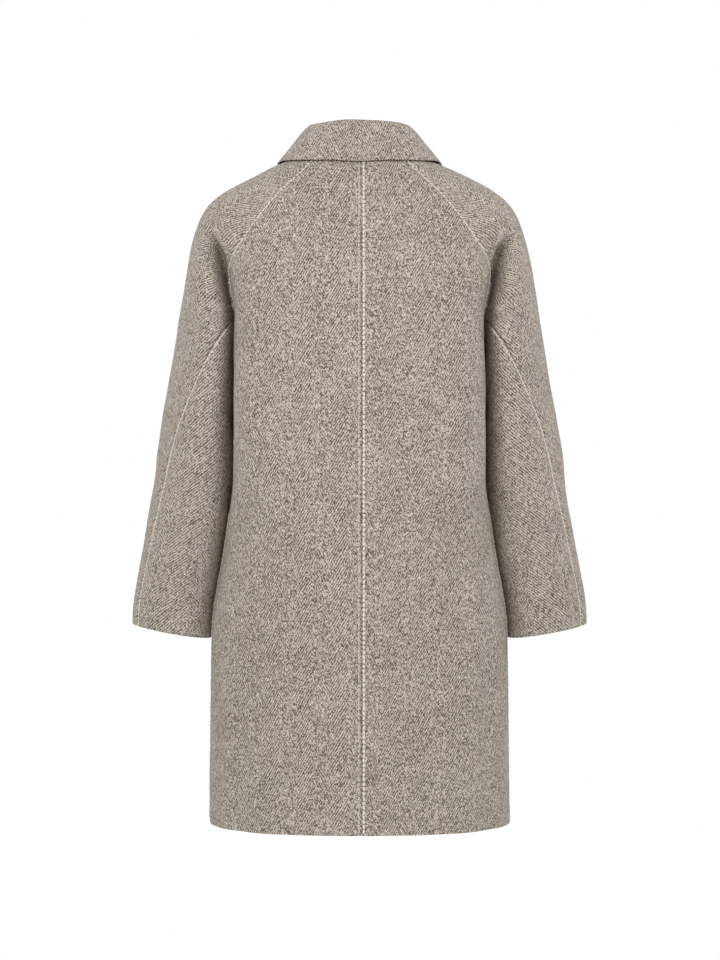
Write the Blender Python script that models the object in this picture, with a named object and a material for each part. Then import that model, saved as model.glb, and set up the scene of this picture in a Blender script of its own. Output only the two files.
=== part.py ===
"""Raglan coat in wool cloth, filled out as worn.

Metres, +Z up. The origin is the middle of the neck opening, level with the neck seam. The back of
the coat faces -Y, the front faces +Y and the wearer's right is +X. Each cut piece of cloth is a grid
of points on the garment's surface, given the cloth's thickness on its inner side.
"""

import math

import bmesh
import bpy
import numpy as np


def table(columns, *rows):
    """A short table of sizes: one named column for each word, and a row for each section."""
    names = columns.split()
    return {name: np.array([row[i] for row in rows], float) for i, name in enumerate(names)}


# Cloth and seams
CLOTH = 0.0025
SEAM_GAP = 0.0003
LEAST_MITRE = 0.8
COLLAR_GAP = 0.0006
SLEEVE_CLEARANCE = 0.0008

# Main lengths
BACK_LENGTH = 0.883
UNDERARM_DROP = 0.215
CUFF_DROP = 0.640
BACK_NECK_RISE = 0.004
FRONT_NECK_DIP = 0.065
LAP = 0.035
LAP_EASE = 0.030
LAP_LIFT = CLOTH + 0.0006

# Body sections, by the drop below the neck seam; the power squares the section's corners
BODY = table(
    "drop   half_width back_depth front_depth power",
    (0.000, 0.0850, 0.066, 0.004, 2.6),
    (0.030, 0.1260, 0.083, 0.034, 3.0),
    (0.060, 0.1550, 0.098, 0.061, 3.5),
    (0.100, 0.1720, 0.112, 0.089, 4.0),
    (0.150, 0.1720, 0.122, 0.112, 4.2),
    (0.215, 0.1655, 0.128, 0.128, 4.0),
    (0.300, 0.1665, 0.132, 0.138, 3.8),
    (0.430, 0.1680, 0.137, 0.142, 3.4),
    (0.520, 0.1790, 0.141, 0.145, 3.0),
    (0.630, 0.1955, 0.145, 0.148, 2.7),
    (0.883, 0.1988, 0.150, 0.155, 2.4),
)

# Raglan seams from neck to underarm: the drop, and the turn in degrees from the centre line
RAGLAN = table(
    "share  back_drop back_turn front_drop front_turn",
    (0.00, 0.0030, 44.5, 0.020, 71.9),
    (0.07, 0.0206, 45.3, 0.034, 65.4),
    (0.16, 0.0370, 48.0, 0.047, 61.7),
    (0.28, 0.0616, 51.4, 0.068, 58.3),
    (0.37, 0.0829, 53.6, 0.086, 57.4),
    (0.51, 0.1162, 58.4, 0.114, 58.2),
    (0.57, 0.1310, 62.2, 0.127, 59.6),
    (0.65, 0.1473, 67.9, 0.147, 61.6),
    (0.78, 0.1740, 74.6, 0.176, 66.5),
    (0.89, 0.2020, 80.6, 0.201, 75.0),
    (1.00, 0.2150, 90.0, 0.215, 90.0),
)

# Ridge of the shoulder and upper arm, from neck to the level of the underarm
SHOULDER = table(
    "share  out     along   drop",
    (0.00, 0.0735, -0.012, 0.0000),
    (0.13, 0.1112, -0.011, 0.0150),
    (0.25, 0.1422, -0.009, 0.0300),
    (0.38, 0.1753, -0.006, 0.0462),
    (0.47, 0.1972, -0.004, 0.0612),
    (0.54, 0.2092, -0.003, 0.0760),
    (0.60, 0.2151, -0.002, 0.0915),
    (0.72, 0.2243, 0.000, 0.1240),
    (0.83, 0.2300, 0.002, 0.1560),
    (1.00, 0.2388, 0.007, 0.2028),
)

# Sleeve rings from underarm to cuff: width across, depth behind and before the ring's middle, and
# how far forward the inner and the outer arm lie
SLEEVE = table(
    "share  width   back   front  inner  outer",
    (0.00, 0.0733, 0.071, 0.078, 0.000, 0.007),
    (0.06, 0.0764, 0.0714, 0.0775, 0.005, 0.011),
    (0.12, 0.0798, 0.0713, 0.0765, 0.011, 0.015),
    (0.20, 0.0852, 0.0705, 0.074, 0.018, 0.019),
    (0.35, 0.0960, 0.068, 0.070, 0.023, 0.023),
    (0.50, 0.1045, 0.064, 0.066, 0.026, 0.026),
    (0.72, 0.1072, 0.057, 0.058, 0.030, 0.030),
    (1.00, 0.1085, 0.048, 0.048, 0.034, 0.034),
)
ROUND_HANDLE = 4.0 / 3.0
INNER_ARM_SQUARING = 0.565
SLEEVE_LEAN_OUT = math.radians(9.45)
SLEEVE_LEAN_FORWARD = math.radians(3.5)
LEAN_END = 0.5
CLEARANCE_END = 0.12

# Seams between upper and under sleeve, as shares of the way round from the inner arm
SLEEVE_SEAM = table(
    "share  behind before",
    (0.00, 0.000, 0.000),
    (0.03, 0.090, 0.060),
    (0.08, 0.163, 0.120),
    (0.20, 0.235, 0.165),
    (0.36, 0.300, 0.190),
    (0.56, 0.357, 0.205),
    (0.77, 0.392, 0.215),
    (1.00, 0.414, 0.220),
)

# Fold of the sleeve into the armpit, by the drop: its place across, depth, and width to each side
ARMPIT_FOLD = table(
    "drop   out     depth  inward outward",
    (0.1010, 0.2030, 0.000, 0.005, 0.008),
    (0.1126, 0.1910, 0.010, 0.005, 0.011),
    (0.1275, 0.1835, 0.017, 0.005, 0.013),
    (0.1386, 0.1808, 0.017, 0.006, 0.014),
    (0.1552, 0.1797, 0.011, 0.007, 0.013),
    (0.1731, 0.1795, 0.003, 0.008, 0.012),
    (0.1880, 0.1795, 0.000, 0.008, 0.010),
)
FRONT_FOLD_SHARE = 0.4
FOLD_FADE = 0.3
ARMPIT_SPREAD = 0.20
ARMPIT_SPREAD_END = 0.35
ARMPIT_START = 0.42
ARMPIT_END = 0.86
CAP_START_HANDLE = 0.38
CAP_END_HANDLE = 0.55
SQUARE_TO_SEAM = 0.2

# Collar along the neck from centre back to centre front: crest of the roll, and outer edge
NECK_BACK_SHARE = 0.27
NECK_SLEEVE_SHARE = 0.60
COLLAR = table(
    "around height  bulge   edge_around edge_share lift",
    (0.000, 0.0363, 0.0012, 0.000, 0.088, 0.0060),
    (0.140, 0.0361, 0.0012, 0.140, 0.072, 0.0056),
    (0.270, 0.0363, 0.0000, 0.285, 0.054, 0.0048),
    (0.350, 0.0363, -0.0020, 0.365, 0.084, 0.0042),
    (0.435, 0.0355, -0.0022, 0.440, 0.112, 0.0040),
    (0.520, 0.0340, -0.0010, 0.525, 0.150, 0.0042),
    (0.600, 0.0310, 0.0000, 0.610, 0.210, 0.0050),
    (0.800, 0.0215, 0.0012, 0.720, 0.360, 0.0070),
    (1.000, 0.0155, 0.0012, 0.800, 0.470, 0.0080),
)
COLLAR_ROLL = 0.0055
COLLAR_ROLL_DROP = 0.7 * COLLAR_ROLL
NECK_CENTRE = np.array([0.0, 0.004, 0.0])
CREST_HALF_WIDTH = 0.0637
CREST_BACK = 0.0755
CREST_FRONT = 0.080
CREST_BACK_POWER = 4.0
CREST_FRONT_POWER = 2.3
COLLAR_END = 0.985
COLLAR_SEWN = 0.3
COLLAR_EASE = 5 * (0.60, -0.64)

# Buttons
BUTTON_RADIUS = 0.0125
BUTTON_HEIGHT = 0.0042
BUTTON_DROPS = (0.135, 0.285, 0.435, 0.585)
BUTTON_PROFILE = table(
    "radius height",
    (0.00, 0.62),
    (0.55, 0.66),
    (0.72, 0.92),
    (0.86, 1.00),
    (0.97, 0.82),
    (1.00, 0.50),
    (0.92, 0.12),
    (0.80, 0.00),
    (0.00, 0.00),
)
BUTTON_SIDES = 20

# Grid sizes
CAP_SHARES = (
    0.0, 0.05, 0.12, 0.2, 0.28, 0.36, 0.42, 0.47, 0.52, 0.56, 0.6, 0.64, 0.68, 0.72, 0.77, 0.84, 0.92, 1.0
)
BODY_ROWS_BELOW = 18
SLEEVE_ROWS_BELOW = 15
FIRST_SLEEVE_ROW = 0.005
SLEEVE_ROW_POWER = 1.35
PANEL_COLUMNS = 10
FRONT_COLUMNS = PANEL_COLUMNS + 2
UPPER_COLUMNS = 20
UPPER_CROWDING = 0.4
UNDER_COLUMNS = 9
COLLAR_COLUMNS_HALF = 20
COLLAR_ROWS = (0.0, 0.12, 0.24, 0.33, 0.38, 0.43, 0.48, 0.55, 0.66, 0.78, 0.9, 1.0)

# Colours from the photo, linear
CLOTH_COLOUR = (0.375, 0.325, 0.282, 1.0)
BUTTON_COLOUR = (0.075, 0.056, 0.043, 1.0)


def size(sizes, column, at):
    """Value of a table's column on a smooth curve through its rows that never overshoots them."""
    xs = next(iter(sizes.values()))
    ys = sizes[column]
    at = np.clip(at, xs[0], xs[-1])
    widths = np.diff(xs)
    slopes = np.diff(ys) / widths
    rising = slopes[:-1] * slopes[1:] > 0.0
    total = np.where(rising, slopes[:-1] + slopes[1:], 1.0)
    tangents = np.concatenate(
        ([slopes[0]], np.where(rising, 2.0 * slopes[:-1] * slopes[1:] / total, 0.0), [slopes[-1]])
    )
    i = np.clip(np.searchsorted(xs, at, side="right") - 1, 0, len(widths) - 1)
    s = (at - xs[i]) / widths[i]
    blend = s * s * (3.0 - 2.0 * s)
    start = s * (1.0 - s) ** 2 * widths[i] * tangents[i]
    end = s * s * (s - 1.0) * widths[i] * tangents[i + 1]
    return ys[i] * (1.0 - blend) + ys[i + 1] * blend + start + end


def smooth_step(low, high, value):
    """0 below low, 1 above high, and a smooth rise between them."""
    s = np.clip((value - low) / (high - low), 0.0, 1.0)
    return s * s * (3.0 - 2.0 * s)


def unit(vector):
    """The vector at length 1, along the last axis."""
    return vector / np.linalg.norm(vector, axis=-1, keepdims=True)


def body_point(drop, turn, front):
    """Point on the body's surface, turned from the centre back, or from the centre front."""
    half_width = size(BODY, "half_width", drop)
    depth = size(BODY, "front_depth" if front else "back_depth", drop)
    power = size(BODY, "power", drop)
    across = np.abs(np.sin(turn)) / half_width
    along = np.abs(np.cos(turn)) / depth
    radius = (across**power + along**power) ** (-1.0 / power)
    facing = 1.0 if front else -1.0
    return np.array([radius * np.sin(turn), facing * radius * np.cos(turn), -drop])


def panel_level(row, front):
    """Drop and turn of a body panel's outer edge: raglan seam to row 1, then side seam to row 2."""
    side = "front" if front else "back"
    if row <= 1.0:
        return size(RAGLAN, side + "_drop", row), math.radians(size(RAGLAN, side + "_turn", row))
    return UNDERARM_DROP + (row - 1.0) * (BACK_LENGTH - UNDERARM_DROP), math.pi / 2.0


def back_point(row, across):
    """Point of a back panel, across from the centre back (0) to its outer seam (1)."""
    drop, turn = panel_level(row, front=False)
    rise = BACK_NECK_RISE * (1.0 - across**2) * max(0.0, 1.0 - row) ** 2
    return body_point(drop - rise, across * turn, front=False)


def front_point(row, across):
    """Point of a front panel, across from the centre front (0) to its outer seam (1)."""
    drop, turn = panel_level(row, front=True)
    dip = FRONT_NECK_DIP * math.cos(max(0.0, across) * math.pi / 2.0) * max(0.0, 1.0 - row)
    return body_point(drop + dip, across * turn, front=True)


def shoulder_point(row):
    """Point on the ridge of the shoulder."""
    return np.array(
        [size(SHOULDER, "out", row), size(SHOULDER, "along", row), -size(SHOULDER, "drop", row)]
    )


def raglan_point(row, front):
    """Point on a raglan seam."""
    drop, turn = panel_level(row, front)
    return body_point(drop, turn, front)


def raglan_direction(row, front):
    """Direction in the body's surface out to the sleeve: along the neck, then square to the seam."""
    step = 0.01
    panel_point = front_point if front else back_point
    seam = raglan_point(min(row + step, 1.0), front) - raglan_point(max(row - step, 0.0), front)
    around = unit(panel_point(row, 1.0) - panel_point(row, 1.0 - step))
    seam = unit(seam) * smooth_step(0.0, SQUARE_TO_SEAM, row)
    return unit(around - seam * np.dot(around, seam))


def cap_handles(row, front):
    """Bezier points of half a sleeve cap's arc, from a raglan seam to the shoulder's ridge."""
    facing = 1.0 if front else -1.0
    seam = raglan_point(row, front)
    ridge = shoulder_point(row)
    reach = np.linalg.norm(ridge - seam)
    depth = abs(ridge[1] - seam[1])
    tube = size(SLEEVE, "front" if front else "back", 0.0)
    armpit = smooth_step(ARMPIT_START, ARMPIT_END, row)
    turned = max(0.0, 1.0 - abs(seam[1]) / tube)
    bend = (ROUND_HANDLE + INNER_ARM_SQUARING) * tube * turned
    round_end = (ROUND_HANDLE - INNER_ARM_SQUARING * turned) * tube
    fold = np.array([ARMPIT_SPREAD * bend, facing * bend, 0.0])
    start = (1.0 - armpit) * CAP_START_HANDLE * reach * raglan_direction(row, front) + armpit * fold
    end = (1.0 - armpit) * CAP_END_HANDLE * depth + armpit * round_end
    return seam, seam + start, ridge + np.array([0.0, facing * end, 0.0]), ridge


def ring_handles(row, front):
    """Bezier points of half a sleeve ring, from the inner arm to the outer arm."""
    share = row - 1.0
    facing = 1.0 if front else -1.0
    drop = UNDERARM_DROP + share * (CUFF_DROP - UNDERARM_DROP)
    width = size(SLEEVE, "width", share)
    inner_arm = size(SLEEVE, "inner", share)
    outer_arm = size(SLEEVE, "outer", share)
    clearance = SLEEVE_CLEARANCE * smooth_step(0.0, CLEARANCE_END, share)
    inner = np.array([size(BODY, "half_width", drop) + clearance, inner_arm, -drop])
    outer = inner + np.array([width, outer_arm - inner_arm, width * math.tan(SLEEVE_LEAN_OUT)])
    depth = size(SLEEVE, "front" if front else "back", share)
    tilt = math.tan(SLEEVE_LEAN_FORWARD) * smooth_step(0.0, LEAN_END, share)
    straight = np.array([0.0, facing, facing * tilt])
    spread = np.array([ARMPIT_SPREAD * (1.0 - smooth_step(0.0, ARMPIT_SPREAD_END, share)), 0.0, 0.0])
    inner_handle = inner + (ROUND_HANDLE + INNER_ARM_SQUARING) * depth * (straight + spread)
    outer_handle = outer + (ROUND_HANDLE - INNER_ARM_SQUARING) * depth * straight
    return inner, inner_handle, outer_handle, outer


def sleeve_point(row, around):
    """Point of a sleeve, around from the back seam or inner arm (0) over the outer arm to 1."""
    front = around > 0.5
    share = 2.0 * (1.0 - around) if front else 2.0 * around
    handles = cap_handles(row, front) if row <= 1.0 else ring_handles(row, front)
    weights = (
        (1.0 - share) ** 3,
        3.0 * share * (1.0 - share) ** 2,
        3.0 * share**2 * (1.0 - share),
        share**3,
    )
    point = sum(weight * handle for weight, handle in zip(weights, handles))
    point[1] += armpit_fold(point, share) * (-FRONT_FOLD_SHARE if front else 1.0)
    return point


def armpit_fold(point, share):
    """Depth of the fold into the armpit at a point on half a sleeve."""
    drop = -point[2]
    offset = point[0] - size(ARMPIT_FOLD, "out", drop)
    width = size(ARMPIT_FOLD, "inward" if offset < 0.0 else "outward", drop)
    depth = size(ARMPIT_FOLD, "depth", drop)
    return depth * math.exp(-((offset / width) ** 2)) * smooth_step(0.0, FOLD_FADE, share)


def garment_point(around, row):
    """Point of half the coat, around from the centre back (0) to the centre front (1)."""
    if around <= NECK_BACK_SHARE:
        return back_point(row, around / NECK_BACK_SHARE)
    if around <= NECK_SLEEVE_SHARE:
        return sleeve_point(row, (around - NECK_BACK_SHARE) / (NECK_SLEEVE_SHARE - NECK_BACK_SHARE))
    return front_point(row, (1.0 - around) / (1.0 - NECK_SLEEVE_SHARE))


def garment_normal(around, row):
    """Outward direction of half the coat's surface."""
    step = 0.01
    along = garment_point(min(around + step, 1.0), row) - garment_point(max(around - step, 0.0), row)
    down = garment_point(around, row + step) - garment_point(around, max(row - step, 0.0))
    return unit(np.cross(down, along))


def through(points, shares):
    """Points at shares of the length of a smooth curve through the given points."""
    points = np.array(points)
    knots = np.concatenate(([0.0], np.cumsum(np.linalg.norm(np.diff(points, axis=0), axis=1))))
    knots = knots / knots[-1]
    tangents = np.gradient(points, knots, axis=0)
    i = np.clip(np.searchsorted(knots, shares, side="right") - 1, 0, len(knots) - 2)
    width = (knots[i + 1] - knots[i])[:, None]
    s = (np.array(shares) - knots[i])[:, None] / width
    blend = s * s * (3.0 - 2.0 * s)
    start = s * (1.0 - s) ** 2 * width * tangents[i]
    end = s * s * (s - 1.0) * width * tangents[i + 1]
    return points[i] * (1.0 - blend) + points[i + 1] * blend + start + end


def crest_reach(outward):
    """Distance from the neck's centre to the crest of the collar's roll: an oval in plan."""
    depth = CREST_FRONT if outward[1] > 0.0 else CREST_BACK
    power = CREST_FRONT_POWER if outward[1] > 0.0 else CREST_BACK_POWER
    across = abs(outward[0]) / CREST_HALF_WIDTH
    along = abs(outward[1]) / depth
    return (across**power + along**power) ** (-1.0 / power)


def collar_section(around):
    """Section of the collar: up the stand from the neck seam, over the roll and down the fall."""
    up = np.array([0.0, 0.0, 1.0])
    seam = garment_point(around, 0.0)
    outward = unit((seam - NECK_CENTRE) * np.array([1.0, 1.0, 0.0]))
    neck = seam + up * COLLAR_GAP
    crest = NECK_CENTRE + outward * crest_reach(outward) + up * (seam[2] + size(COLLAR, "height", around))
    edge_around = size(COLLAR, "edge_around", around)
    edge_row = size(COLLAR, "edge_share", around)
    lift = size(COLLAR, "lift", around)
    edge = garment_point(edge_around, edge_row) + lift * garment_normal(edge_around, edge_row)
    stand_top = crest - outward * COLLAR_ROLL - up * COLLAR_ROLL_DROP
    fall_top = crest + outward * COLLAR_ROLL - up * COLLAR_ROLL_DROP
    fall_middle = 0.5 * (fall_top + edge) + size(COLLAR, "bulge", around) * unit(outward + up)
    stand_middle = 0.5 * (neck + stand_top)
    return through((neck, stand_middle, stand_top, crest, fall_top, fall_middle, edge), COLLAR_ROWS)


def grid_normals(points, facing):
    """Outward direction at each point of a grid of points."""
    down = np.gradient(points, axis=0)
    across = np.gradient(points, axis=1)
    return facing * unit(np.cross(down, across))


def make_panel(points, facing):
    """A cut piece: its outer points, and the way from each to the wall's inner side."""
    return {"points": points, "inward": -CLOTH * grid_normals(points, facing)}


def sleeve_normal(row, around):
    """Outward direction of the sleeve's surface; below the underarm the sleeve closes on itself."""
    step = 0.004
    before = around - step
    after = around + step
    if row <= 1.0:
        before = max(before, 0.0)
        after = min(after, 1.0)
    else:
        before = before % 1.0
        after = after % 1.0
    across = sleeve_point(row, after) - sleeve_point(row, before)
    down = sleeve_point(min(row + step, 2.0), around) - sleeve_point(max(row - step, 0.0), around)
    return unit(np.cross(down, across))


def sleeve_piece(rows, places):
    """A cut piece of the sleeve from its rows, and the places around the sleeve in each row."""
    points = [[sleeve_point(row, v) for v in line] for row, line in zip(rows, places)]
    normals = [[sleeve_normal(row, v) for v in line] for row, line in zip(rows, places)]
    return {"points": np.array(points), "inward": -CLOTH * np.array(normals)}


def share_seam(first, first_edge, second, second_edge):
    """Mitre the walls of two pieces along a seam, and part them by the seam's gap."""
    a = -first["inward"][first_edge] / CLOTH
    b = -second["inward"][second_edge] / CLOTH
    middle = unit(a + b)
    cosine = np.sum(a * middle, axis=-1, keepdims=True)
    flat = cosine > LEAST_MITRE
    first["inward"][first_edge] = -CLOTH * np.where(flat, middle / cosine, a)
    second["inward"][second_edge] = -CLOTH * np.where(flat, middle / cosine, b)


def draw_back(panel, edge, inside):
    """Move an edge's points into the piece by half a seam's gap, square to the edge."""
    points = panel["points"]
    along = unit(np.gradient(points[edge], axis=0))
    inwards = points[inside] - points[edge]
    inwards = unit(inwards - along * np.sum(inwards * along, axis=-1, keepdims=True))
    points[edge] = points[edge] + 0.5 * SEAM_GAP * inwards


def mirrored(panel):
    """The same piece for the wearer's left side."""
    flip = np.array([-1.0, 1.0, 1.0])
    return {"points": (panel["points"] * flip)[:, ::-1], "inward": (panel["inward"] * flip)[:, ::-1]}


def cloth_object(name, panel, facing, material):
    """Close a cut piece into a wall: outer face, inner face and the rim between them."""
    rows, columns = panel["points"].shape[:2]
    mesh = bmesh.new()
    outer = [[mesh.verts.new(point) for point in line] for line in panel["points"]]
    inner = [[mesh.verts.new(point) for point in line] for line in panel["points"] + panel["inward"]]

    def halves(a, b, c, d):
        for corners in ((a, b, c), (a, c, d)):
            mesh.faces.new(corners if facing > 0.0 else corners[::-1])

    def panel_face(a, b, c, d):
        if (a.co - c.co).length <= (b.co - d.co).length:
            halves(a, b, c, d)
        else:
            halves(b, c, d, a)

    for i in range(rows - 1):
        for j in range(columns - 1):
            panel_face(outer[i][j], outer[i + 1][j], outer[i + 1][j + 1], outer[i][j + 1])
            panel_face(inner[i][j], inner[i][j + 1], inner[i + 1][j + 1], inner[i + 1][j])
    for i in range(rows - 1):
        halves(outer[i][0], inner[i][0], inner[i + 1][0], outer[i + 1][0])
        halves(outer[i][-1], outer[i + 1][-1], inner[i + 1][-1], inner[i][-1])
    for j in range(columns - 1):
        halves(outer[0][j], outer[0][j + 1], inner[0][j + 1], inner[0][j])
        halves(outer[-1][j], inner[-1][j], inner[-1][j + 1], outer[-1][j + 1])
    return add_object(name, mesh, material)


def add_object(name, mesh, material):
    """Link a finished mesh to the scene as a named sub-part."""
    data = bpy.data.meshes.new(name)
    mesh.to_mesh(data)
    mesh.free()
    data.shade_smooth()
    data.set_sharp_from_angle(angle=math.radians(50.0))
    data.materials.append(material)
    part = bpy.data.objects.new(name, data)
    bpy.context.scene.collection.objects.link(part)
    return part


def make_material(name, colour, roughness):
    """A plain surface of one colour."""
    material = bpy.data.materials.new(name)
    material.use_nodes = True
    shader = material.node_tree.nodes["Principled BSDF"]
    shader.inputs["Base Color"].default_value = colour
    shader.inputs["Roughness"].default_value = roughness
    shader.inputs["Metallic"].default_value = 0.0
    return material


def body_rows():
    """Rows of the body's panels: the cap's rows to the underarm, then even rows to the hem."""
    return list(CAP_SHARES) + [1.0 + (i + 1) / BODY_ROWS_BELOW for i in range(BODY_ROWS_BELOW)]


def sleeve_rows():
    """Rows of the sleeve below the underarm, closest together near the armpit."""
    even = [(i + 1) / SLEEVE_ROWS_BELOW for i in range(SLEEVE_ROWS_BELOW)]
    return [FIRST_SLEEVE_ROW] + [share**SLEEVE_ROW_POWER for share in even]


def back_panel():
    """The wearer's right half of the back."""
    shares = np.linspace(0.0, 1.0, PANEL_COLUMNS + 1)
    points = np.array([[back_point(row, across) for across in shares] for row in body_rows()])
    return make_panel(points, 1.0)


def front_panel():
    """The wearer's right half of the front, with its lap past the centre front."""
    rows = []
    for row in body_rows():
        drop, turn = panel_level(row, front=True)
        dip = FRONT_NECK_DIP * max(0.0, 1.0 - row)
        depth = size(BODY, "front_depth", drop + dip)
        edge = -math.atan2(LAP, depth) / turn
        rows.append([front_point(row, across) for across in np.linspace(1.0, edge, FRONT_COLUMNS + 1)])
    return make_panel(np.array(rows), 1.0)


def lapped_over(front):
    """A front half raised at the centre front to lie over the other half."""
    points = front["points"]
    lift = LAP_LIFT * (1.0 - smooth_step(LAP, LAP + LAP_EASE, points[..., 0]))
    return {"points": points - front["inward"] / CLOTH * lift[..., None], "inward": front["inward"]}


def sleeve_pieces():
    """The wearer's right upper and under sleeve."""
    even = np.linspace(0.0, 1.0, UPPER_COLUMNS + 1)
    crowded = even - UPPER_CROWDING * np.sin(2.0 * math.pi * even) / (2.0 * math.pi)
    below = [1.0 + share for share in sleeve_rows()]
    behind = [size(SLEEVE_SEAM, "behind", share) for share in sleeve_rows()]
    before = [size(SLEEVE_SEAM, "before", share) for share in sleeve_rows()]
    cap = [crowded for row in CAP_SHARES]
    tube = [b + (1.0 - a - b) * crowded for a, b in zip(before, behind)]
    inner = [np.linspace(b, -a, UNDER_COLUMNS + 1) % 1.0 for a, b in zip(before, behind)]
    return sleeve_piece(list(CAP_SHARES) + below, cap + tube), sleeve_piece(below, inner)


def collar_wall():
    """The collar, from the wearer's left end round the back to the right end."""
    shares = COLLAR_END * np.linspace(0.0, 1.0, COLLAR_COLUMNS_HALF + 1)
    right = np.array([collar_section(around) for around in shares])
    left = right[:0:-1] * np.array([-1.0, 1.0, 1.0])
    right[0, :, 0] = 0.0
    points = np.concatenate((left, right)).transpose(1, 0, 2)
    hold = np.clip(np.array(COLLAR_ROWS) / COLLAR_SEWN, 0.0, 1.0)[:, None, None]
    for share in COLLAR_EASE:
        even = 0.5 * (points[:, :-2] + points[:, 2:])
        points[:, 1:-1] += share * hold * (even - points[:, 1:-1])
    return make_panel(points, -1.0)


def make_button(name, drop, material):
    """A turned button that lies on the lapped front."""
    mesh = bmesh.new()
    rings = []
    for radius, height in zip(BUTTON_PROFILE["radius"], BUTTON_PROFILE["height"]):
        if radius == 0.0:
            rings.append([mesh.verts.new((0.0, 0.0, height * BUTTON_HEIGHT))])
            continue
        turns = [2.0 * math.pi * i / BUTTON_SIDES for i in range(BUTTON_SIDES)]
        rings.append(
            [
                mesh.verts.new(
                    (
                        radius * BUTTON_RADIUS * math.cos(turn),
                        radius * BUTTON_RADIUS * math.sin(turn),
                        height * BUTTON_HEIGHT,
                    )
                )
                for turn in turns
            ]
        )
    for upper, lower in zip(rings, rings[1:]):
        for i in range(BUTTON_SIDES):
            k = (i + 1) % BUTTON_SIDES
            corners = [(upper, i), (lower, i), (lower, k), (upper, k)]
            corners = [ring[place % len(ring)] for ring, place in corners]
            mesh.faces.new(list(dict.fromkeys(corners)))
    part = add_object(name, mesh, material)
    step = 0.01
    seat = body_point(drop, 0.0, front=True)
    slope = body_point(drop + step, 0.0, front=True) - body_point(drop - step, 0.0, front=True)
    tilt = math.atan2(slope[1], -slope[2])
    out = np.array([0.0, math.cos(tilt), math.sin(tilt)])
    part.location = seat + out * (LAP_LIFT + SEAM_GAP)
    part.rotation_euler = (tilt - math.pi / 2.0, 0.0, 0.0)
    return part


def main():
    for old in list(bpy.data.objects):
        bpy.data.objects.remove(old, do_unlink=True)
    cloth = make_material("wool_cloth", CLOTH_COLOUR, 0.9)
    horn = make_material("button_horn", BUTTON_COLOUR, 0.4)

    back = back_panel()
    front = front_panel()
    upper, under = sleeve_pieces()
    everywhere = slice(None)
    caps = slice(0, len(CAP_SHARES))
    below = slice(len(CAP_SHARES), None)
    sides = slice(len(CAP_SHARES) - 1, None)

    share_seam(back, (sides, -1), front, (sides, 0))
    share_seam(front, (caps, 0), upper, (caps, -1))
    share_seam(back, (caps, -1), upper, (caps, 0))
    share_seam(upper, (below, 0), under, (everywhere, 0))
    share_seam(upper, (below, -1), under, (everywhere, -1))
    back["inward"][:, 0, 0] = 0.0

    for piece in (back, upper, under):
        draw_back(piece, (everywhere, 0), (everywhere, 1))
        draw_back(piece, (everywhere, -1), (everywhere, -2))
    draw_back(front, (everywhere, 0), (everywhere, 1))
    fronts = {"right": lapped_over(front), "left": front}

    for side in ("right", "left"):
        def place(piece):
            return piece if side == "right" else mirrored(piece)

        cloth_object("back_" + side, place(back), 1.0, cloth)
        cloth_object("front_" + side, place(fronts[side]), 1.0, cloth)
        cloth_object("sleeve_upper_" + side, place(upper), 1.0, cloth)
        cloth_object("sleeve_under_" + side, place(under), -1.0, cloth)
    cloth_object("collar", collar_wall(), -1.0, cloth)
    for number, drop in enumerate(BUTTON_DROPS, start=1):
        make_button("button_" + str(number), drop, horn)


main()
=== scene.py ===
"""Raglan coat in herringbone wool: its looks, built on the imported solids.

Metres, +Z up. The origin is the middle of the neck opening, the back faces -Y and the wearer's right is
+X. Each cut piece is a thin closed shell on the surface of its solid, with rounded edges, soft creases
and a weave that follows its grain. Sewing, buttonholes and buttons are pieces of their own on the cloth.
The form's tables are those of the solids, apart from those whose comments say how they differ.
"""

import functools
import math

import bmesh
import bpy
import numpy as np
from bpy.props import FloatProperty, FloatVectorProperty, PointerProperty
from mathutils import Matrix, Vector


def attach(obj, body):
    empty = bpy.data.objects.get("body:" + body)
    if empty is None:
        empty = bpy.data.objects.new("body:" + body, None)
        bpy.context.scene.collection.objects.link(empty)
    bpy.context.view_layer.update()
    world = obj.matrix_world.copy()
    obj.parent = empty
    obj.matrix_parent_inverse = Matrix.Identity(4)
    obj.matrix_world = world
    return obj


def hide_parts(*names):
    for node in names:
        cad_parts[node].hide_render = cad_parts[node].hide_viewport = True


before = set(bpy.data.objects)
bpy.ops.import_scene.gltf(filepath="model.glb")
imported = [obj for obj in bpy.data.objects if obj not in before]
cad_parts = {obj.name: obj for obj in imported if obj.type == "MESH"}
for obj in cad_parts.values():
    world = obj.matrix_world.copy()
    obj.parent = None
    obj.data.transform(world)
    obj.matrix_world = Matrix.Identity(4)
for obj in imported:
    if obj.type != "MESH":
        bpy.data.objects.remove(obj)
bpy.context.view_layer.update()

bl_info = {
    "name": "Raglan Coat",
    "version": (1, 0, 0),
    "blender": (4, 5, 0),
    "location": "View3D > Sidebar > Coat",
    "description": "Dresses the solids of a raglan coat with wool cloth, sewing and buttons",
    "category": "Object",
}

BODY_NAME = "root"
WEAVE_MAP = "weave"
CLOTH = 0.0025


def length_setting(name, description, default):
    """A length that a user can change."""
    return FloatProperty(name=name, description=description, default=default, unit="LENGTH")


def colour_setting(name, description, default):
    """A colour that a user can change."""
    return FloatVectorProperty(
        name=name, description=description, default=(*default, 1.0), size=4, subtype="COLOR"
    )


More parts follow.
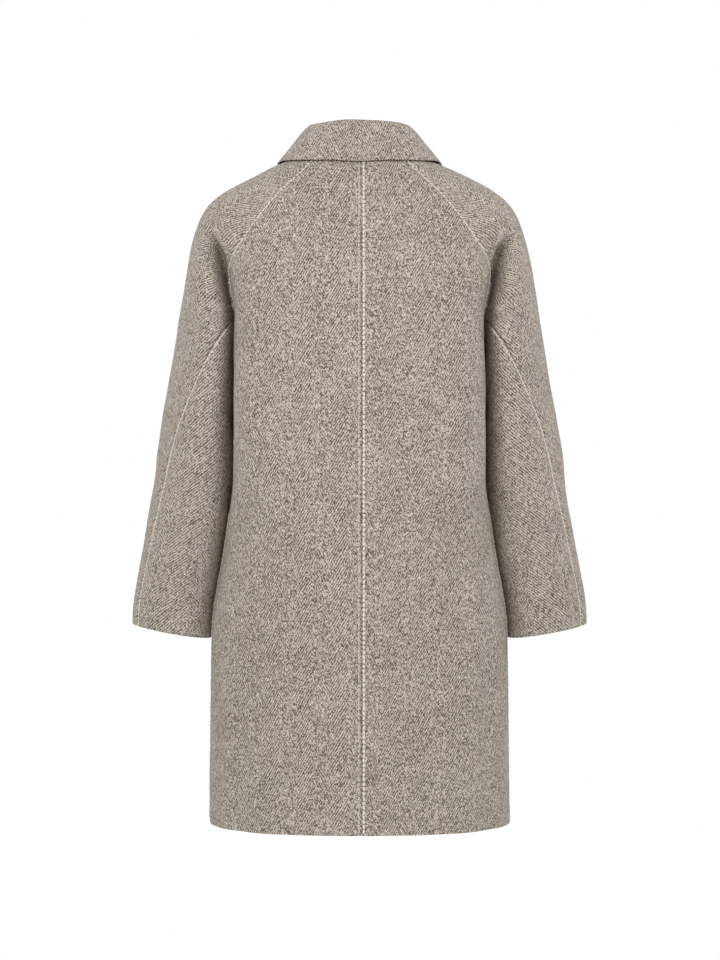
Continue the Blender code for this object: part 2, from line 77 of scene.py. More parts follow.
class CoatSizes(bpy.types.PropertyGroup):
    """Sizes of the cloth, its sewing and its buttons."""

    cloth: length_setting("Cloth", "Thickness of the wool cloth", CLOTH)
    unevenness: length_setting("Unevenness", "Height of the cloth's broad waves", 0.0008)
    pucker: length_setting("Pucker", "Height of the ripples beside a seam", 0.0003)
    seam_dip: length_setting("Seam dip", "Depth of the groove along a seam", 0.0018)
    stitch_pitch: length_setting("Stitch pitch", "Distance between two stitches", 0.0060)
    bold_stitch: length_setting("Bold stitch", "Width of the centre back stitch", 0.0034)
    fine_stitch: length_setting("Fine stitch", "Width of the other seams' stitch", 0.0023)
    stitch_inset: length_setting("Stitch inset", "Distance of a stitch from its seam", 0.0035)
    buttonhole: length_setting("Buttonhole", "Length of a buttonhole", 0.029)


class CoatWeave(bpy.types.PropertyGroup):
    """Sizes of the herringbone weave."""

    body_stripe: length_setting("Body stripe", "Width of a herringbone stripe", 0.0218)
    sleeve_stripe: length_setting("Sleeve stripe", "Width of a broad stripe on the sleeves", 0.052)
    return_stripe: length_setting("Return stripe", "Width of a narrow stripe on the sleeves", 0.012)
    body_repeat: length_setting("Body repeat", "Height of one twill line along the grain", 0.0058)
    sleeve_repeat: length_setting("Sleeve repeat", "Height of one twill line on the sleeves", 0.0045)
    yarn: length_setting("Yarn", "Width of a lengthwise yarn", 0.00087)
    relief: length_setting("Relief", "Height of the yarns", 0.0005)


class CoatColours(bpy.types.PropertyGroup):
    """Colours of the yarns, the buttons and the floor."""

    light_yarn: colour_setting("Light yarn", "Light yarn of the cloth", (0.70, 0.625, 0.555))
    dark_yarn: colour_setting("Dark yarn", "Dark yarn of the cloth", (0.125, 0.098, 0.077))
    sewing_yarn: colour_setting("Sewing yarn", "Cream yarn of the seams", (0.87, 0.82, 0.74))
    horn: colour_setting("Horn", "Brown of the horn buttons", (0.085, 0.058, 0.040))
    floor: colour_setting("Floor", "Plain pale floor", (0.86, 0.86, 0.85))


class CoatStage(bpy.types.PropertyGroup):
    """Camera, light and floor."""

    camera_distance: length_setting("Camera distance", "Camera to the coat's middle", 3.4)
    camera_height: length_setting("Camera height", "Height of the camera", -0.43)
    camera_lens: FloatProperty(
        name="Lens", description="Focal length in millimetres", default=95.85, min=1.0
    )
    floor_drop: length_setting("Floor drop", "Floor below the neck seam", 1.42)
    fill: FloatProperty(name="Fill", description="Light of the white surroundings", default=0.37)
    softbox: FloatProperty(name="Softbox", description="Power of a softbox in watts", default=21.0)


class CoatSettings(bpy.types.PropertyGroup):
    """All settings of the coat."""

    sizes: PointerProperty(type=CoatSizes)
    weave: PointerProperty(type=CoatWeave)
    colours: PointerProperty(type=CoatColours)
    stage: PointerProperty(type=CoatStage)


def settings():
    """The coat's settings in the open scene."""
    return bpy.context.scene.coat


def table(columns, *rows):
    """A short table of sizes: one named column for each word, and a row for each section."""
    names = columns.split()
    return {name: np.array([row[i] for row in rows], float) for i, name in enumerate(names)}


# Seams of the solids
SEAM_GAP = 0.0003
COLLAR_GAP = 0.0006
SLEEVE_CLEARANCE = 0.0008

# Main lengths
BACK_LENGTH = 0.883
UNDERARM_DROP = 0.215
CUFF_DROP = 0.640
BACK_NECK_RISE = 0.004
FRONT_NECK_DIP = 0.065
LAP = 0.035
LAP_EASE = 0.030
LAP_LIFT = CLOTH + 0.0006

# Body sections, by the drop below the neck seam; the power squares the section's corners. From armpit to
# waist they are squarer and up to 2 mm narrower than the solids, and beside the forearm they are rounder
BODY = table(
    "drop   half_width back_depth front_depth power",
    (0.000, 0.0850, 0.066, 0.004, 2.6),
    (0.030, 0.1260, 0.083, 0.034, 3.0),
    (0.060, 0.1550, 0.098, 0.061, 3.5),
    (0.100, 0.1720, 0.112, 0.089, 4.0),
    (0.150, 0.1720, 0.122, 0.112, 4.6),
    (0.215, 0.1637, 0.128, 0.128, 5.4),
    (0.300, 0.1646, 0.132, 0.138, 5.4),
    (0.430, 0.1660, 0.137, 0.142, 4.4),
    (0.485, 0.1742, 0.1394, 0.1438, 2.9),
    (0.520, 0.1792, 0.141, 0.145, 2.6),
    (0.630, 0.1955, 0.145, 0.148, 2.55),
    (0.883, 0.1988, 0.150, 0.155, 2.4),
)

# Raglan seams from neck to underarm: the drop, and the turn in degrees from the centre line
RAGLAN = table(
    "share  back_drop back_turn front_drop front_turn",
    (0.00, 0.0030, 44.5, 0.020, 71.9),
    (0.07, 0.0206, 45.3, 0.034, 65.4),
    (0.16, 0.0370, 48.0, 0.047, 61.7),
    (0.28, 0.0616, 51.4, 0.068, 58.3),
    (0.37, 0.0829, 53.6, 0.086, 57.4),
    (0.51, 0.1162, 58.4, 0.114, 58.2),
    (0.57, 0.1310, 62.2, 0.127, 59.6),
    (0.65, 0.1473, 67.9, 0.147, 61.6),
    (0.78, 0.1740, 74.6, 0.176, 66.5),
    (0.89, 0.2020, 80.6, 0.201, 75.0),
    (1.00, 0.2150, 90.0, 0.215, 90.0),
)

# Ridge of the shoulder and upper arm, from neck to the level of the underarm
SHOULDER = table(
    "share  out     along   drop",
    (0.00, 0.0735, -0.012, 0.0000),
    (0.13, 0.1112, -0.011, 0.0150),
    (0.25, 0.1422, -0.009, 0.0300),
    (0.38, 0.1753, -0.006, 0.0462),
    (0.47, 0.1972, -0.004, 0.0612),
    (0.54, 0.2092, -0.003, 0.0760),
    (0.60, 0.2151, -0.002, 0.0915),
    (0.72, 0.2243, 0.000, 0.1240),
    (0.83, 0.2300, 0.002, 0.1560),
    (1.00, 0.2388, 0.007, 0.2028),
)

# Sleeve rings from underarm to cuff: width across, depth behind and before the ring's middle, and
# how far forward the inner and the outer arm lie
SLEEVE = table(
    "share  width   back   front  inner  outer",
    (0.00, 0.0733, 0.071, 0.078, 0.000, 0.007),
    (0.06, 0.0764, 0.0714, 0.0775, 0.005, 0.011),
    (0.12, 0.0798, 0.0713, 0.0765, 0.011, 0.015),
    (0.20, 0.0852, 0.0705, 0.074, 0.018, 0.019),
    (0.35, 0.0960, 0.068, 0.070, 0.023, 0.023),
    (0.50, 0.1045, 0.064, 0.066, 0.026, 0.026),
    (0.72, 0.1072, 0.057, 0.058, 0.030, 0.030),
    (1.00, 0.1085, 0.048, 0.048, 0.034, 0.034),
)

# Line of the inner arm by the drop: how far out it hangs, as in the solids, and how far it lies off that
# line. The handles make the arm's inner side squarer than a round arc, though less so on the forearm than
# in the solids
INNER_ARM = table(
    "drop   out     off",
    (0.215, 0.1655, -0.0018),
    (0.255, 0.1660, 0.0),
    (0.300, 0.1665, 0.0),
    (0.430, 0.1680, 0.0),
    (0.520, 0.1790, 0.0),
    (0.630, 0.1955, 0.0),
    (0.883, 0.1988, 0.0),
)
ROUND_HANDLE = 4.0 / 3.0
INNER_ARM_SQUARING = 0.565
FOREARM_SQUARING = 0.22
FOREARM = (0.35, 0.72)
SLEEVE_LEAN_OUT = math.radians(9.45)
SLEEVE_LEAN_FORWARD = math.radians(3.5)
LEAN_END = 0.5
CLEARANCE_END = 0.12
SQUARE_TO_SEAM = 0.2

# Seams between upper and under sleeve, as shares of the way round from the inner arm; the one behind lies
# up to 9 mm further out than in the solids
SLEEVE_SEAM = table(
    "share  behind before",
    (0.00, 0.000, 0.000),
    (0.03, 0.080, 0.060),
    (0.08, 0.158, 0.120),
    (0.14, 0.222, 0.149),
    (0.20, 0.265, 0.165),
    (0.28, 0.306, 0.179),
    (0.37, 0.342, 0.191),
    (0.46, 0.364, 0.198),
    (0.56, 0.387, 0.205),
    (0.66, 0.402, 0.210),
    (0.77, 0.413, 0.215),
    (1.00, 0.420, 0.220),
)

# Fold of the sleeve into the armpit, by the drop: its place across, depth, and width to each side; deeper,
# longer and crisper than in the solids
ARMPIT_FOLD = table(
    "drop   out     depth  inward outward",
    (0.1010, 0.2030, 0.000, 0.0030, 0.0080),
    (0.1130, 0.1905, 0.017, 0.0030, 0.0100),
    (0.1275, 0.1815, 0.034, 0.0030, 0.0130),
    (0.1390, 0.1765, 0.044, 0.0025, 0.0140),
    (0.1550, 0.1730, 0.046, 0.0020, 0.0135),
    (0.1730, 0.1712, 0.044, 0.0017, 0.0125),
    (0.1930, 0.1678, 0.038, 0.0017, 0.0105),
    (0.2000, 0.1668, 0.030, 0.0017, 0.0095),
    (0.2070, 0.1660, 0.017, 0.0017, 0.0085),
    (0.2125, 0.1656, 0.005, 0.0017, 0.0080),
    (0.2150, 0.1654, 0.000, 0.0017, 0.0080),
)
FRONT_FOLD_SHARE = 0.25
FOLD_FADE = 0.015
ARMPIT_SPREAD = 0.12
ARMPIT_SPREAD_END = 0.06
ARMPIT_START = 0.42
ARMPIT_END = 0.86
CAP_START_HANDLE = 0.38
CAP_END_HANDLE = 0.55

# Collar along the neck from centre back to centre front: crest of the roll, and outer edge, which lies up
# to 4 mm closer to the coat than in the solids
NECK_BACK_SHARE = 0.27
NECK_SLEEVE_SHARE = 0.60
COLLAR = table(
    "around height  bulge   edge_around edge_share lift",
    (0.000, 0.0363, 0.0012, 0.000, 0.070, 0.0024),
    (0.140, 0.0361, 0.0012, 0.140, 0.057, 0.0020),
    (0.270, 0.0363, 0.0010, 0.285, 0.041, 0.0016),
    (0.350, 0.0363, 0.0008, 0.365, 0.074, 0.0013),
    (0.435, 0.0355, 0.0006, 0.440, 0.110, 0.0014),
    (0.520, 0.0340, 0.0004, 0.525, 0.154, 0.0032),
    (0.600, 0.0310, 0.0000, 0.610, 0.210, 0.0030),
    (0.800, 0.0215, 0.0012, 0.720, 0.360, 0.0036),
    (1.000, 0.0155, 0.0012, 0.800, 0.470, 0.0040),
)
COLLAR_ROLL = 0.0055
COLLAR_ROLL_DROP = 0.7 * COLLAR_ROLL
NECK_CENTRE = np.array([0.0, 0.004, 0.0])
CREST_HALF_WIDTH = 0.0637
CREST_BACK = 0.0755
CREST_FRONT = 0.080
CREST_BACK_POWER = 4.0
CREST_FRONT_POWER = 2.3
COLLAR_END = 0.985
COLLAR_SEWN = 0.3
COLLAR_EASE = 5 * (0.60, -0.64)
COLLAR_SECTIONS_HALF = 20

# Buttons down the lapped front: a dished disc with a rolled rim, four drilled holes and thread
BUTTON_RADIUS = 0.0125
BUTTON_HEIGHT = 0.0042
BUTTON_SIDES = 64
BUTTON_RINGS = 40
BUTTON_FLOOR = 0.64
BUTTON_EDGE = math.radians(40.0)
HOLE_REACH = 0.0026
HOLE_RADIUS = 0.0011
HOLE_SIDES = 24
DRILL_LENGTH = 0.02
ON_AXIS = 1e-7
THREAD_RISE = 0.0001
THREAD_PAST_HOLES = 0.0018
THREAD_WIDTH = 0.0016
THREAD_HEIGHT = 0.0006
BUTTON_DROPS = (0.135, 0.285, 0.435, 0.585)
BUTTON_PROFILE = table(
    "radius height",
    (0.00, 0.62),
    (0.55, 0.66),
    (0.72, 0.92),
    (0.86, 1.00),
    (0.97, 0.82),
    (1.00, 0.50),
    (0.92, 0.12),
    (0.80, 0.00),
    (0.00, 0.00),
)

# Buttonholes: bars of thread along both lips, and a fan of bars at the end
BUTTONHOLE_START = -0.003
LIP = 0.0016
BAR_PITCH = 0.0012
BAR_LENGTH = 0.0029
BAR_WIDTH = 0.0012
BAR_HEIGHT = 0.0006
BAR_STRAY = 0.1
FAN_BARS = 7
FAN_TURN = 1.2

# Sewing: the form of one stitch, and shares of the pitch or the width for its place and size
STITCH_SIDES = 8
STITCH_RINGS = table(
    "along radius",
    (-0.50, 0.00),
    (-0.47, 0.42),
    (-0.38, 0.80),
    (-0.20, 1.00),
    (0.00, 0.94),
    (0.20, 1.00),
    (0.38, 0.80),
    (0.47, 0.42),
    (0.50, 0.00),
)
LEAST_SLANT = 0.35
STITCH_START = 0.6
STITCH_END = 0.5
STITCH_GRIP = 0.4
STITCH_STRAY = 0.05
STITCH_TURN = math.radians(3.0)
STITCH_LENGTHS = (0.84, 0.98)
STITCH_WIDTHS = (0.88, 1.1)
STITCH_RISE = 0.2
STITCH_HEIGHT = 0.36
BOLD_TWIST = 11.0
FINE_TWIST = 4.0
FAINT_TWIST = 3.0
FAINT_INSET = 1.3
FAINT_WIDTH = 0.55
SLEEVE_WIDTH = 0.92
SLEEVE_SEWN_FROM = 1.04

# Grid of each cut piece
CAP_ROWS = 80
SKIRT_ROWS = 112
TUBE_ROWS = 76
FIRST_UNDER_ROW = 1.001
EASED_MIDDLE = 0.85
EASED_ROWS = (0.25, 0.55)
EASED_FROM_SIDES = (0.045, 0.075)
EASE_ROUNDS = 40
BODY_COLUMNS = 46
UPPER_COLUMNS = 120
UPPER_CROWDING = 0.5
UNDER_COLUMNS = 34
COLLAR_ROWS = 44
COLLAR_COLUMNS = 150
DENSE_COLUMNS = 400
EDGE_LINES = np.array([0.00012, 0.0005, 0.00125])

# Creases: side is 1 for the wearer's right, -1 for the left and 0 for both. A crease runs from
# start to end, across from the piece's middle line and down its grain, and bows sideways by bow; depth
# is that of a trough, or less than 0 for a ridge
CREASE_COLUMNS = "side start_across start_down end_across end_down depth width bow"
CREASES = {
    "back": table(
        CREASE_COLUMNS,
        (1, 0.082, 0.500, 0.104, 1.02, 0.0030, 0.021, 0.004),
        (1, 0.176, 0.585, 0.196, 1.03, 0.0038, 0.027, -0.003),
        (1, 0.036, 0.640, 0.041, 1.00, 0.0013, 0.017, 0.000),
        (1, 0.170, 0.225, 0.118, 0.305, 0.0016, 0.012, 0.004),
        (1, 0.134, 0.340, 0.150, 0.560, -0.0014, 0.022, 0.005),
        (-1, 0.068, 0.540, 0.086, 1.04, 0.0027, 0.024, -0.003),
        (-1, 0.150, 0.600, 0.171, 1.01, 0.0034, 0.023, 0.004),
        (-1, 0.215, 0.640, 0.226, 1.05, 0.0026, 0.021, 0.000),
        (-1, 0.176, 0.232, 0.130, 0.290, 0.0014, 0.013, -0.003),
        (-1, 0.115, 0.330, 0.122, 0.520, -0.0012, 0.024, -0.004),
        (0, 0.060, 0.120, 0.078, 0.260, -0.0009, 0.028, 0.003),
    ),
    "front": table(
        CREASE_COLUMNS,
        (1, 0.098, 0.420, 0.112, 1.00, 0.0034, 0.023, 0.004),
        (1, 0.182, 0.500, 0.196, 1.04, 0.0036, 0.025, -0.004),
        (1, 0.150, 0.215, 0.086, 0.330, 0.0028, 0.014, 0.006),
        (1, 0.140, 0.300, 0.152, 0.470, -0.0016, 0.020, 0.004),
        (-1, 0.084, 0.460, 0.101, 1.03, 0.0030, 0.022, -0.004),
        (-1, 0.165, 0.520, 0.183, 1.00, 0.0038, 0.026, 0.003),
        (-1, 0.154, 0.222, 0.098, 0.318, 0.0024, 0.013, -0.005),
        (-1, 0.126, 0.310, 0.131, 0.450, -0.0015, 0.022, -0.003),
    ),
    "sleeve_upper": table(
        CREASE_COLUMNS,
        (1, -0.048, 0.395, -0.010, 0.470, 0.0019, 0.012, 0.004),
        (1, 0.052, 0.400, 0.010, 0.462, 0.0027, 0.011, -0.004),
        (1, 0.060, 0.452, 0.016, 0.506, 0.0024, 0.012, -0.003),
        (1, 0.046, 0.520, 0.020, 0.640, 0.0016, 0.014, 0.004),
        (1, -0.040, 0.540, -0.026, 0.680, 0.0013, 0.015, -0.003),
        (-1, -0.044, 0.420, -0.004, 0.488, 0.0017, 0.013, 0.004),
        (-1, 0.054, 0.382, 0.014, 0.448, 0.0026, 0.011, -0.005),
        (-1, 0.058, 0.440, 0.008, 0.500, 0.0022, 0.012, 0.003),
        (-1, 0.040, 0.540, 0.024, 0.660, 0.0015, 0.015, -0.003),
        (-1, -0.036, 0.560, -0.022, 0.700, 0.0012, 0.014, 0.003),
    ),
    "sleeve_under": table(
        CREASE_COLUMNS,
        (1, -0.046, 0.100, 0.030, 0.170, 0.0016, 0.012, 0.004),
        (1, -0.050, 0.210, 0.034, 0.265, 0.0015, 0.013, -0.003),
        (-1, -0.042, 0.118, 0.036, 0.182, 0.0015, 0.012, -0.004),
        (-1, -0.050, 0.225, 0.028, 0.290, 0.0014, 0.013, 0.003),
    ),
    "collar": table(
        CREASE_COLUMNS,
        (0, 0.062, 0.055, 0.082, 0.085, 0.0008, 0.012, 0.000),
        (0, -0.070, 0.055, -0.090, 0.085, 0.0007, 0.013, 0.000),
    ),
}
CREASE_FADE = 0.3
SEAM_FADE = 0.022
PUCKER_REACH = 0.006
PUCKER_WAVE = 0.023
SEAM_DIP_REACH = 0.0028
BESIDE_FOLD = (0.58, 0.68)
CENTRE_SEAM_SHIFT = 0.003
CENTRE_SEAM_REACH = 0.08
WAVES = table(
    "share across down  turn",
    (0.50, 0.132, 0.210, 0.4),
    (0.35, -0.087, 0.124, 1.9),
    (0.25, 0.061, -0.083, 3.1),
)
LEFT_TURN = 2.2

# Slope of the twill lines in the first stripe of a pair, how far each back half's stripes start off, and
# which pieces' stripes lean otherwise than their side of the coat gives
BODY_SLOPE = math.tan(math.radians(60.0))
SLEEVE_SLOPE = -math.tan(math.radians(46.0))
COLLAR_SLOPE = -math.tan(math.radians(64.0))
STRIPE_SHIFTS = {("back", 1): 0.0173, ("back", -1): -0.0045}
STRIPE_LEANS = {("sleeve_upper", -1): 1.0, ("sleeve_under", 1): -1.0, ("sleeve_under", -1): -1.0}

# Each wool: contrast and middle of its shades, how faint its odd stripes are, and flecks in a repeat
WOOLS = {
    "body": {"contrast": 1.15, "middle": 0.542, "faint": 0.45, "flecks": 3.0},
    "sleeve": {"contrast": 1.42, "middle": 0.49, "faint": 0.8, "flecks": 2.0},
    "collar": {"contrast": 1.06, "middle": 0.52, "faint": 1.0, "flecks": 3.0},
}

# Scale and detail of each finish's noise
NOISES = {
    "stray_across": (55.0, 1.0),
    "stray_down": (130.0, 2.0),
    "fibre": (620.0, 2.0),
    "slub": (300.0, 2.0),
    "mottle": (22.0, 2.0),
    "twist": (1100.0, 2.0),
    "streak": (240.0, 4.0),
    "floor": (3.0, 2.0),
}

# Wool: how far its yarns stray, its yarns' heights, and what lightens and lifts it
WOOL_SHEEN = {
    "Roughness": 0.92, "Specular IOR Level": 0.2, "Sheen Weight": 0.12,
    "Sheen Roughness": 0.5, "Sheen Tint": (0.95, 0.91, 0.86, 1.0),
}
STRAY_ACROSS = 0.0016
STRAY_DOWN = 0.0040
FLOAT_EDGE = (0.25, 0.75)
WARP_FLOOR = 0.4
WEFT_HEIGHT = 0.5
WEFTS_IN_REPEAT = 4.0
DARKEST = 0.15
# The height term paints shade into the colour: raised yarn crests lighter, the grooves between yarns
# darker
LIGHTENING = {"light": 0.55, "height": 0.12, "chance": 0.70, "fibre": 2.2, "slub": 1.2, "mottle": 0.20}
SHADE_REACH = 0.62
LIFTING = {"fibre": 0.9, "slub": 0.5}
WOOL_BUMP = 0.7

# Sewing yarn and horn
SEWING_SHEEN = {"Roughness": 0.85, "Specular IOR Level": 0.2, "Sheen Weight": 0.2}
SEWING_SHADE = (0.84, 0.81, 0.77, 1.0)
TWIST_EDGE = (0.3, 0.7)
SEWING_BUMP = 0.6
SEWING_RELIEF = 0.0003
HORN_POLISH = {"Coat Weight": 0.25, "Coat Roughness": 0.15}
HORN_STRETCH = (1.0, 1.0, 0.25)
HORN_WARMTH = (2.4, 2.1, 1.8, 1.0)
STREAK_EDGE = (0.42, 0.72)
HORN_ROUGHNESS = 0.28
STREAK_ROUGHNESS = 0.16
HORN_BUMP = 0.25
HORN_RELIEF = 0.0002

# Studio: a round floor, and the camera's place aside of the coat's middle
FLOOR_RADIUS = 1.5
FLOOR_SIDES = 96
FLOOR_ROUGHNESS = 0.9
FLOOR_TINT = (0.7, 0.7, 0.69, 1.0)
FLOOR_MOTTLE = 0.03
CAMERA_ASIDE = 0.0007

# Studio light: softboxes around the coat, by their turn from the camera's side in degrees
SOFTBOXES = table(
    "azimuth share",
    (-19.0, 1.0),
    (19.0, 1.0),
    (-115.0, 1.2),
    (115.0, 1.2),
)
SOFTBOX_DISTANCE = 2.3
SOFTBOX_RISE = 0.42
SOFTBOX_WIDTH = 0.9
SOFTBOX_HEIGHT = 1.4


def size(sizes, column, at):
    """Value of a table's column on a smooth curve through its rows that never overshoots them."""
    xs = next(iter(sizes.values()))
    ys = sizes[column]
    at = np.clip(at, xs[0], xs[-1])
    widths = np.diff(xs)
    slopes = np.diff(ys) / widths
    rising = slopes[:-1] * slopes[1:] > 0.0
    total = np.where(rising, slopes[:-1] + slopes[1:], 1.0)
    tangents = np.concatenate(
        ([slopes[0]], np.where(rising, 2.0 * slopes[:-1] * slopes[1:] / total, 0.0), [slopes[-1]])
    )
    i = np.clip(np.searchsorted(xs, at, side="right") - 1, 0, len(widths) - 1)
    s = (at - xs[i]) / widths[i]
    blend = s * s * (3.0 - 2.0 * s)
    start = s * (1.0 - s) ** 2 * widths[i] * tangents[i]
    end = s * s * (s - 1.0) * widths[i] * tangents[i + 1]
    return ys[i] * (1.0 - blend) + ys[i + 1] * blend + start + end


def smooth_step(low, high, value):
    """0 below low, 1 above high, and a smooth rise between them."""
    s = np.clip((value - low) / (high - low), 0.0, 1.0)
    return s * s * (3.0 - 2.0 * s)


def unit(vector):
    """The vector at length 1, along the last axis."""
    return vector / np.linalg.norm(vector, axis=-1, keepdims=True)


def lengths(points, axis):
    """Distance from the start along each line of a grid of points."""
    steps = np.linalg.norm(np.diff(points, axis=axis), axis=-1)
    start = np.zeros_like(np.take(steps, [0], axis=axis))
    return np.concatenate((start, np.cumsum(steps, axis=axis)), axis=axis)


def body_point(drop, turn, front):
    """Points on the body's surface, turned from the centre back, or from the centre front."""
    half_width = size(BODY, "half_width", drop)
    depth = size(BODY, "front_depth" if front else "back_depth", drop)
    power = size(BODY, "power", drop)
    across = np.abs(np.sin(turn)) / half_width
    along = np.abs(np.cos(turn)) / depth
    radius = (across**power + along**power) ** (-1.0 / power)
    facing = 1.0 if front else -1.0
    parts = np.broadcast_arrays(radius * np.sin(turn), facing * radius * np.cos(turn), -drop)
    return np.stack(parts, axis=-1)


def panel_level(row, front):
    """Drop and turn of a body panel's outer edge: raglan seam to row 1, then side seam to row 2."""
    side = "front" if front else "back"
    if row <= 1.0:
        return size(RAGLAN, side + "_drop", row), math.radians(size(RAGLAN, side + "_turn", row))
    return UNDERARM_DROP + (row - 1.0) * (BACK_LENGTH - UNDERARM_DROP), math.pi / 2.0


def back_line(row, across):
    """Points of a back panel's row, across from the centre back (0) to its outer seam (1)."""
    drop, turn = panel_level(row, front=False)
    rise = BACK_NECK_RISE * (1.0 - across**2) * max(0.0, 1.0 - row) ** 2
    return body_point(drop - rise, across * turn, front=False)


def front_line(row, across):
    """Points of a front panel's row, across from the centre front (0) to its outer seam (1)."""
    drop, turn = panel_level(row, front=True)
    dip = FRONT_NECK_DIP * np.cos(np.maximum(0.0, across) * math.pi / 2.0) * max(0.0, 1.0 - row)
    return body_point(drop + dip, across * turn, front=True)


def shoulder_point(row):
    """Point on the ridge of the shoulder."""
    return np.array(
        [size(SHOULDER, "out", row), size(SHOULDER, "along", row), -size(SHOULDER, "drop", row)]
    )


def raglan_point(row, front):
    """Point on a raglan seam."""
    drop, turn = panel_level(row, front)
    return body_point(drop, turn, front)


def raglan_direction(row, front):
    """Direction in the body's surface out to the sleeve: along the neck, then square to the seam."""
    step = 0.01
    panel_line = front_line if front else back_line
    seam = raglan_point(min(row + step, 1.0), front) - raglan_point(max(row - step, 0.0), front)
    inside, edge = panel_line(row, np.array([1.0 - step, 1.0]))
    around = unit(edge - inside)
    seam = unit(seam) * smooth_step(0.0, SQUARE_TO_SEAM, row)
    return unit(around - seam * np.dot(around, seam))


def cap_handles(row, front):
    """Bezier points of half a sleeve cap's arc, from a raglan seam to the shoulder's ridge."""
    facing = 1.0 if front else -1.0
    seam = raglan_point(row, front)
    ridge = shoulder_point(row)
    reach = np.linalg.norm(ridge - seam)
    depth = abs(ridge[1] - seam[1])
    tube = size(SLEEVE, "front" if front else "back", 0.0)
    armpit = smooth_step(ARMPIT_START, ARMPIT_END, row)
    turned = max(0.0, 1.0 - abs(seam[1]) / tube)
    bend = (ROUND_HANDLE + INNER_ARM_SQUARING) * tube * turned
    round_end = (ROUND_HANDLE - INNER_ARM_SQUARING * turned) * tube
    fold = np.array([ARMPIT_SPREAD * bend, facing * bend, 0.0])
    start = (1.0 - armpit) * CAP_START_HANDLE * reach * raglan_direction(row, front) + armpit * fold
    end = (1.0 - armpit) * CAP_END_HANDLE * depth + armpit * round_end
    return seam, seam + start, ridge + np.array([0.0, facing * end, 0.0]), ridge


def ring_handles(row, front):
    """Bezier points of half a sleeve ring, from the inner arm to the outer arm."""
    share = row - 1.0
    facing = 1.0 if front else -1.0
    drop = UNDERARM_DROP + share * (CUFF_DROP - UNDERARM_DROP)
    width = size(SLEEVE, "width", share)
    inner_arm = size(SLEEVE, "inner", share)
    outer_arm = size(SLEEVE, "outer", share)
    clearance = SLEEVE_CLEARANCE * smooth_step(0.0, CLEARANCE_END, share)
    inner = np.array([size(INNER_ARM, "out", drop) + clearance, inner_arm, -drop])
    outer = inner + np.array([width, outer_arm - inner_arm, width * math.tan(SLEEVE_LEAN_OUT)])
    inner[0] += size(INNER_ARM, "off", drop)
    depth = size(SLEEVE, "front" if front else "back", share)
    tilt = math.tan(SLEEVE_LEAN_FORWARD) * smooth_step(0.0, LEAN_END, share)
    straight = np.array([0.0, facing, facing * tilt])
    spread = ARMPIT_SPREAD * (1.0 - smooth_step(0.0, ARMPIT_SPREAD_END, share))
    spread = np.array([spread, 0.0, 0.0])
    forearm = smooth_step(*FOREARM, share)
    squaring = INNER_ARM_SQUARING + (FOREARM_SQUARING - INNER_ARM_SQUARING) * forearm
    inner_handle = inner + (ROUND_HANDLE + squaring) * depth * (straight + spread)
    outer_handle = outer + (ROUND_HANDLE - squaring) * depth * straight
    return inner, inner_handle, outer_handle, outer


def armpit_fold(points, share):
    """Depth of the fold into the armpit at points on half a sleeve."""
    drop = -points[:, 2]
    offset = points[:, 0] - size(ARMPIT_FOLD, "out", drop)
    inward = size(ARMPIT_FOLD, "inward", drop)
    outward = size(ARMPIT_FOLD, "outward", drop)
    depth = size(ARMPIT_FOLD, "depth", drop)
    cliff = np.clip(1.0 + offset / inward, 0.0, 1.0)
    slope = np.exp(-((np.maximum(offset, 0.0) / outward) ** 2))
    return depth * cliff * slope * smooth_step(0.0, FOLD_FADE, share)


def sleeve_line(row, around):
    """Points of a sleeve's row, around from the back seam or inner arm (0) over the outer arm to 1."""
    around = np.where((around < 0.0) | (around > 1.0), around % 1.0, around)
    points = np.empty((len(around), 3))
    for front in (False, True):
        chosen = (around > 0.5) == front
        share = 2.0 * (1.0 - around[chosen]) if front else 2.0 * around[chosen]
        handles = cap_handles(row, front) if row <= 1.0 else ring_handles(row, front)
        weights = np.stack(
            (
                (1.0 - share) ** 3,
                3.0 * share * (1.0 - share) ** 2,
                3.0 * share**2 * (1.0 - share),
                share**3,
            ),
            axis=-1,
        )
        half = weights @ np.array(handles)
        half[:, 1] += armpit_fold(half, share) * (-FRONT_FOLD_SHARE if front else 1.0)
        points[chosen] = half
    return points


def garment_point(around, row):
    """Point of half the coat, around from the centre back (0) to the centre front (1)."""
    if around <= NECK_BACK_SHARE:
        return back_line(row, np.array([around / NECK_BACK_SHARE]))[0]
    if around <= NECK_SLEEVE_SHARE:
        share = (around - NECK_BACK_SHARE) / (NECK_SLEEVE_SHARE - NECK_BACK_SHARE)
        return sleeve_line(row, np.array([share]))[0]
    return front_line(row, np.array([(1.0 - around) / (1.0 - NECK_SLEEVE_SHARE)]))[0]


def garment_normal(around, row):
    """Outward direction of half the coat's surface."""
    step = 0.01
    along = garment_point(min(around + step, 1.0), row) - garment_point(max(around - step, 0.0), row)
    down = garment_point(around, row + step) - garment_point(around, max(row - step, 0.0))
    return unit(np.cross(down, along))


def through(points, shares):
    """Points at shares of the length of a smooth curve through the given points."""
    points = np.array(points)
    knots = np.concatenate(([0.0], np.cumsum(np.linalg.norm(np.diff(points, axis=0), axis=1))))
    knots = knots / knots[-1]
    tangents = np.gradient(points, knots, axis=0)
    i = np.clip(np.searchsorted(knots, shares, side="right") - 1, 0, len(knots) - 2)
    width = (knots[i + 1] - knots[i])[:, None]
    s = (np.array(shares) - knots[i])[:, None] / width
    blend = s * s * (3.0 - 2.0 * s)
    start = s * (1.0 - s) ** 2 * width * tangents[i]
    end = s * s * (s - 1.0) * width * tangents[i + 1]
    return points[i] * (1.0 - blend) + points[i + 1] * blend + start + end


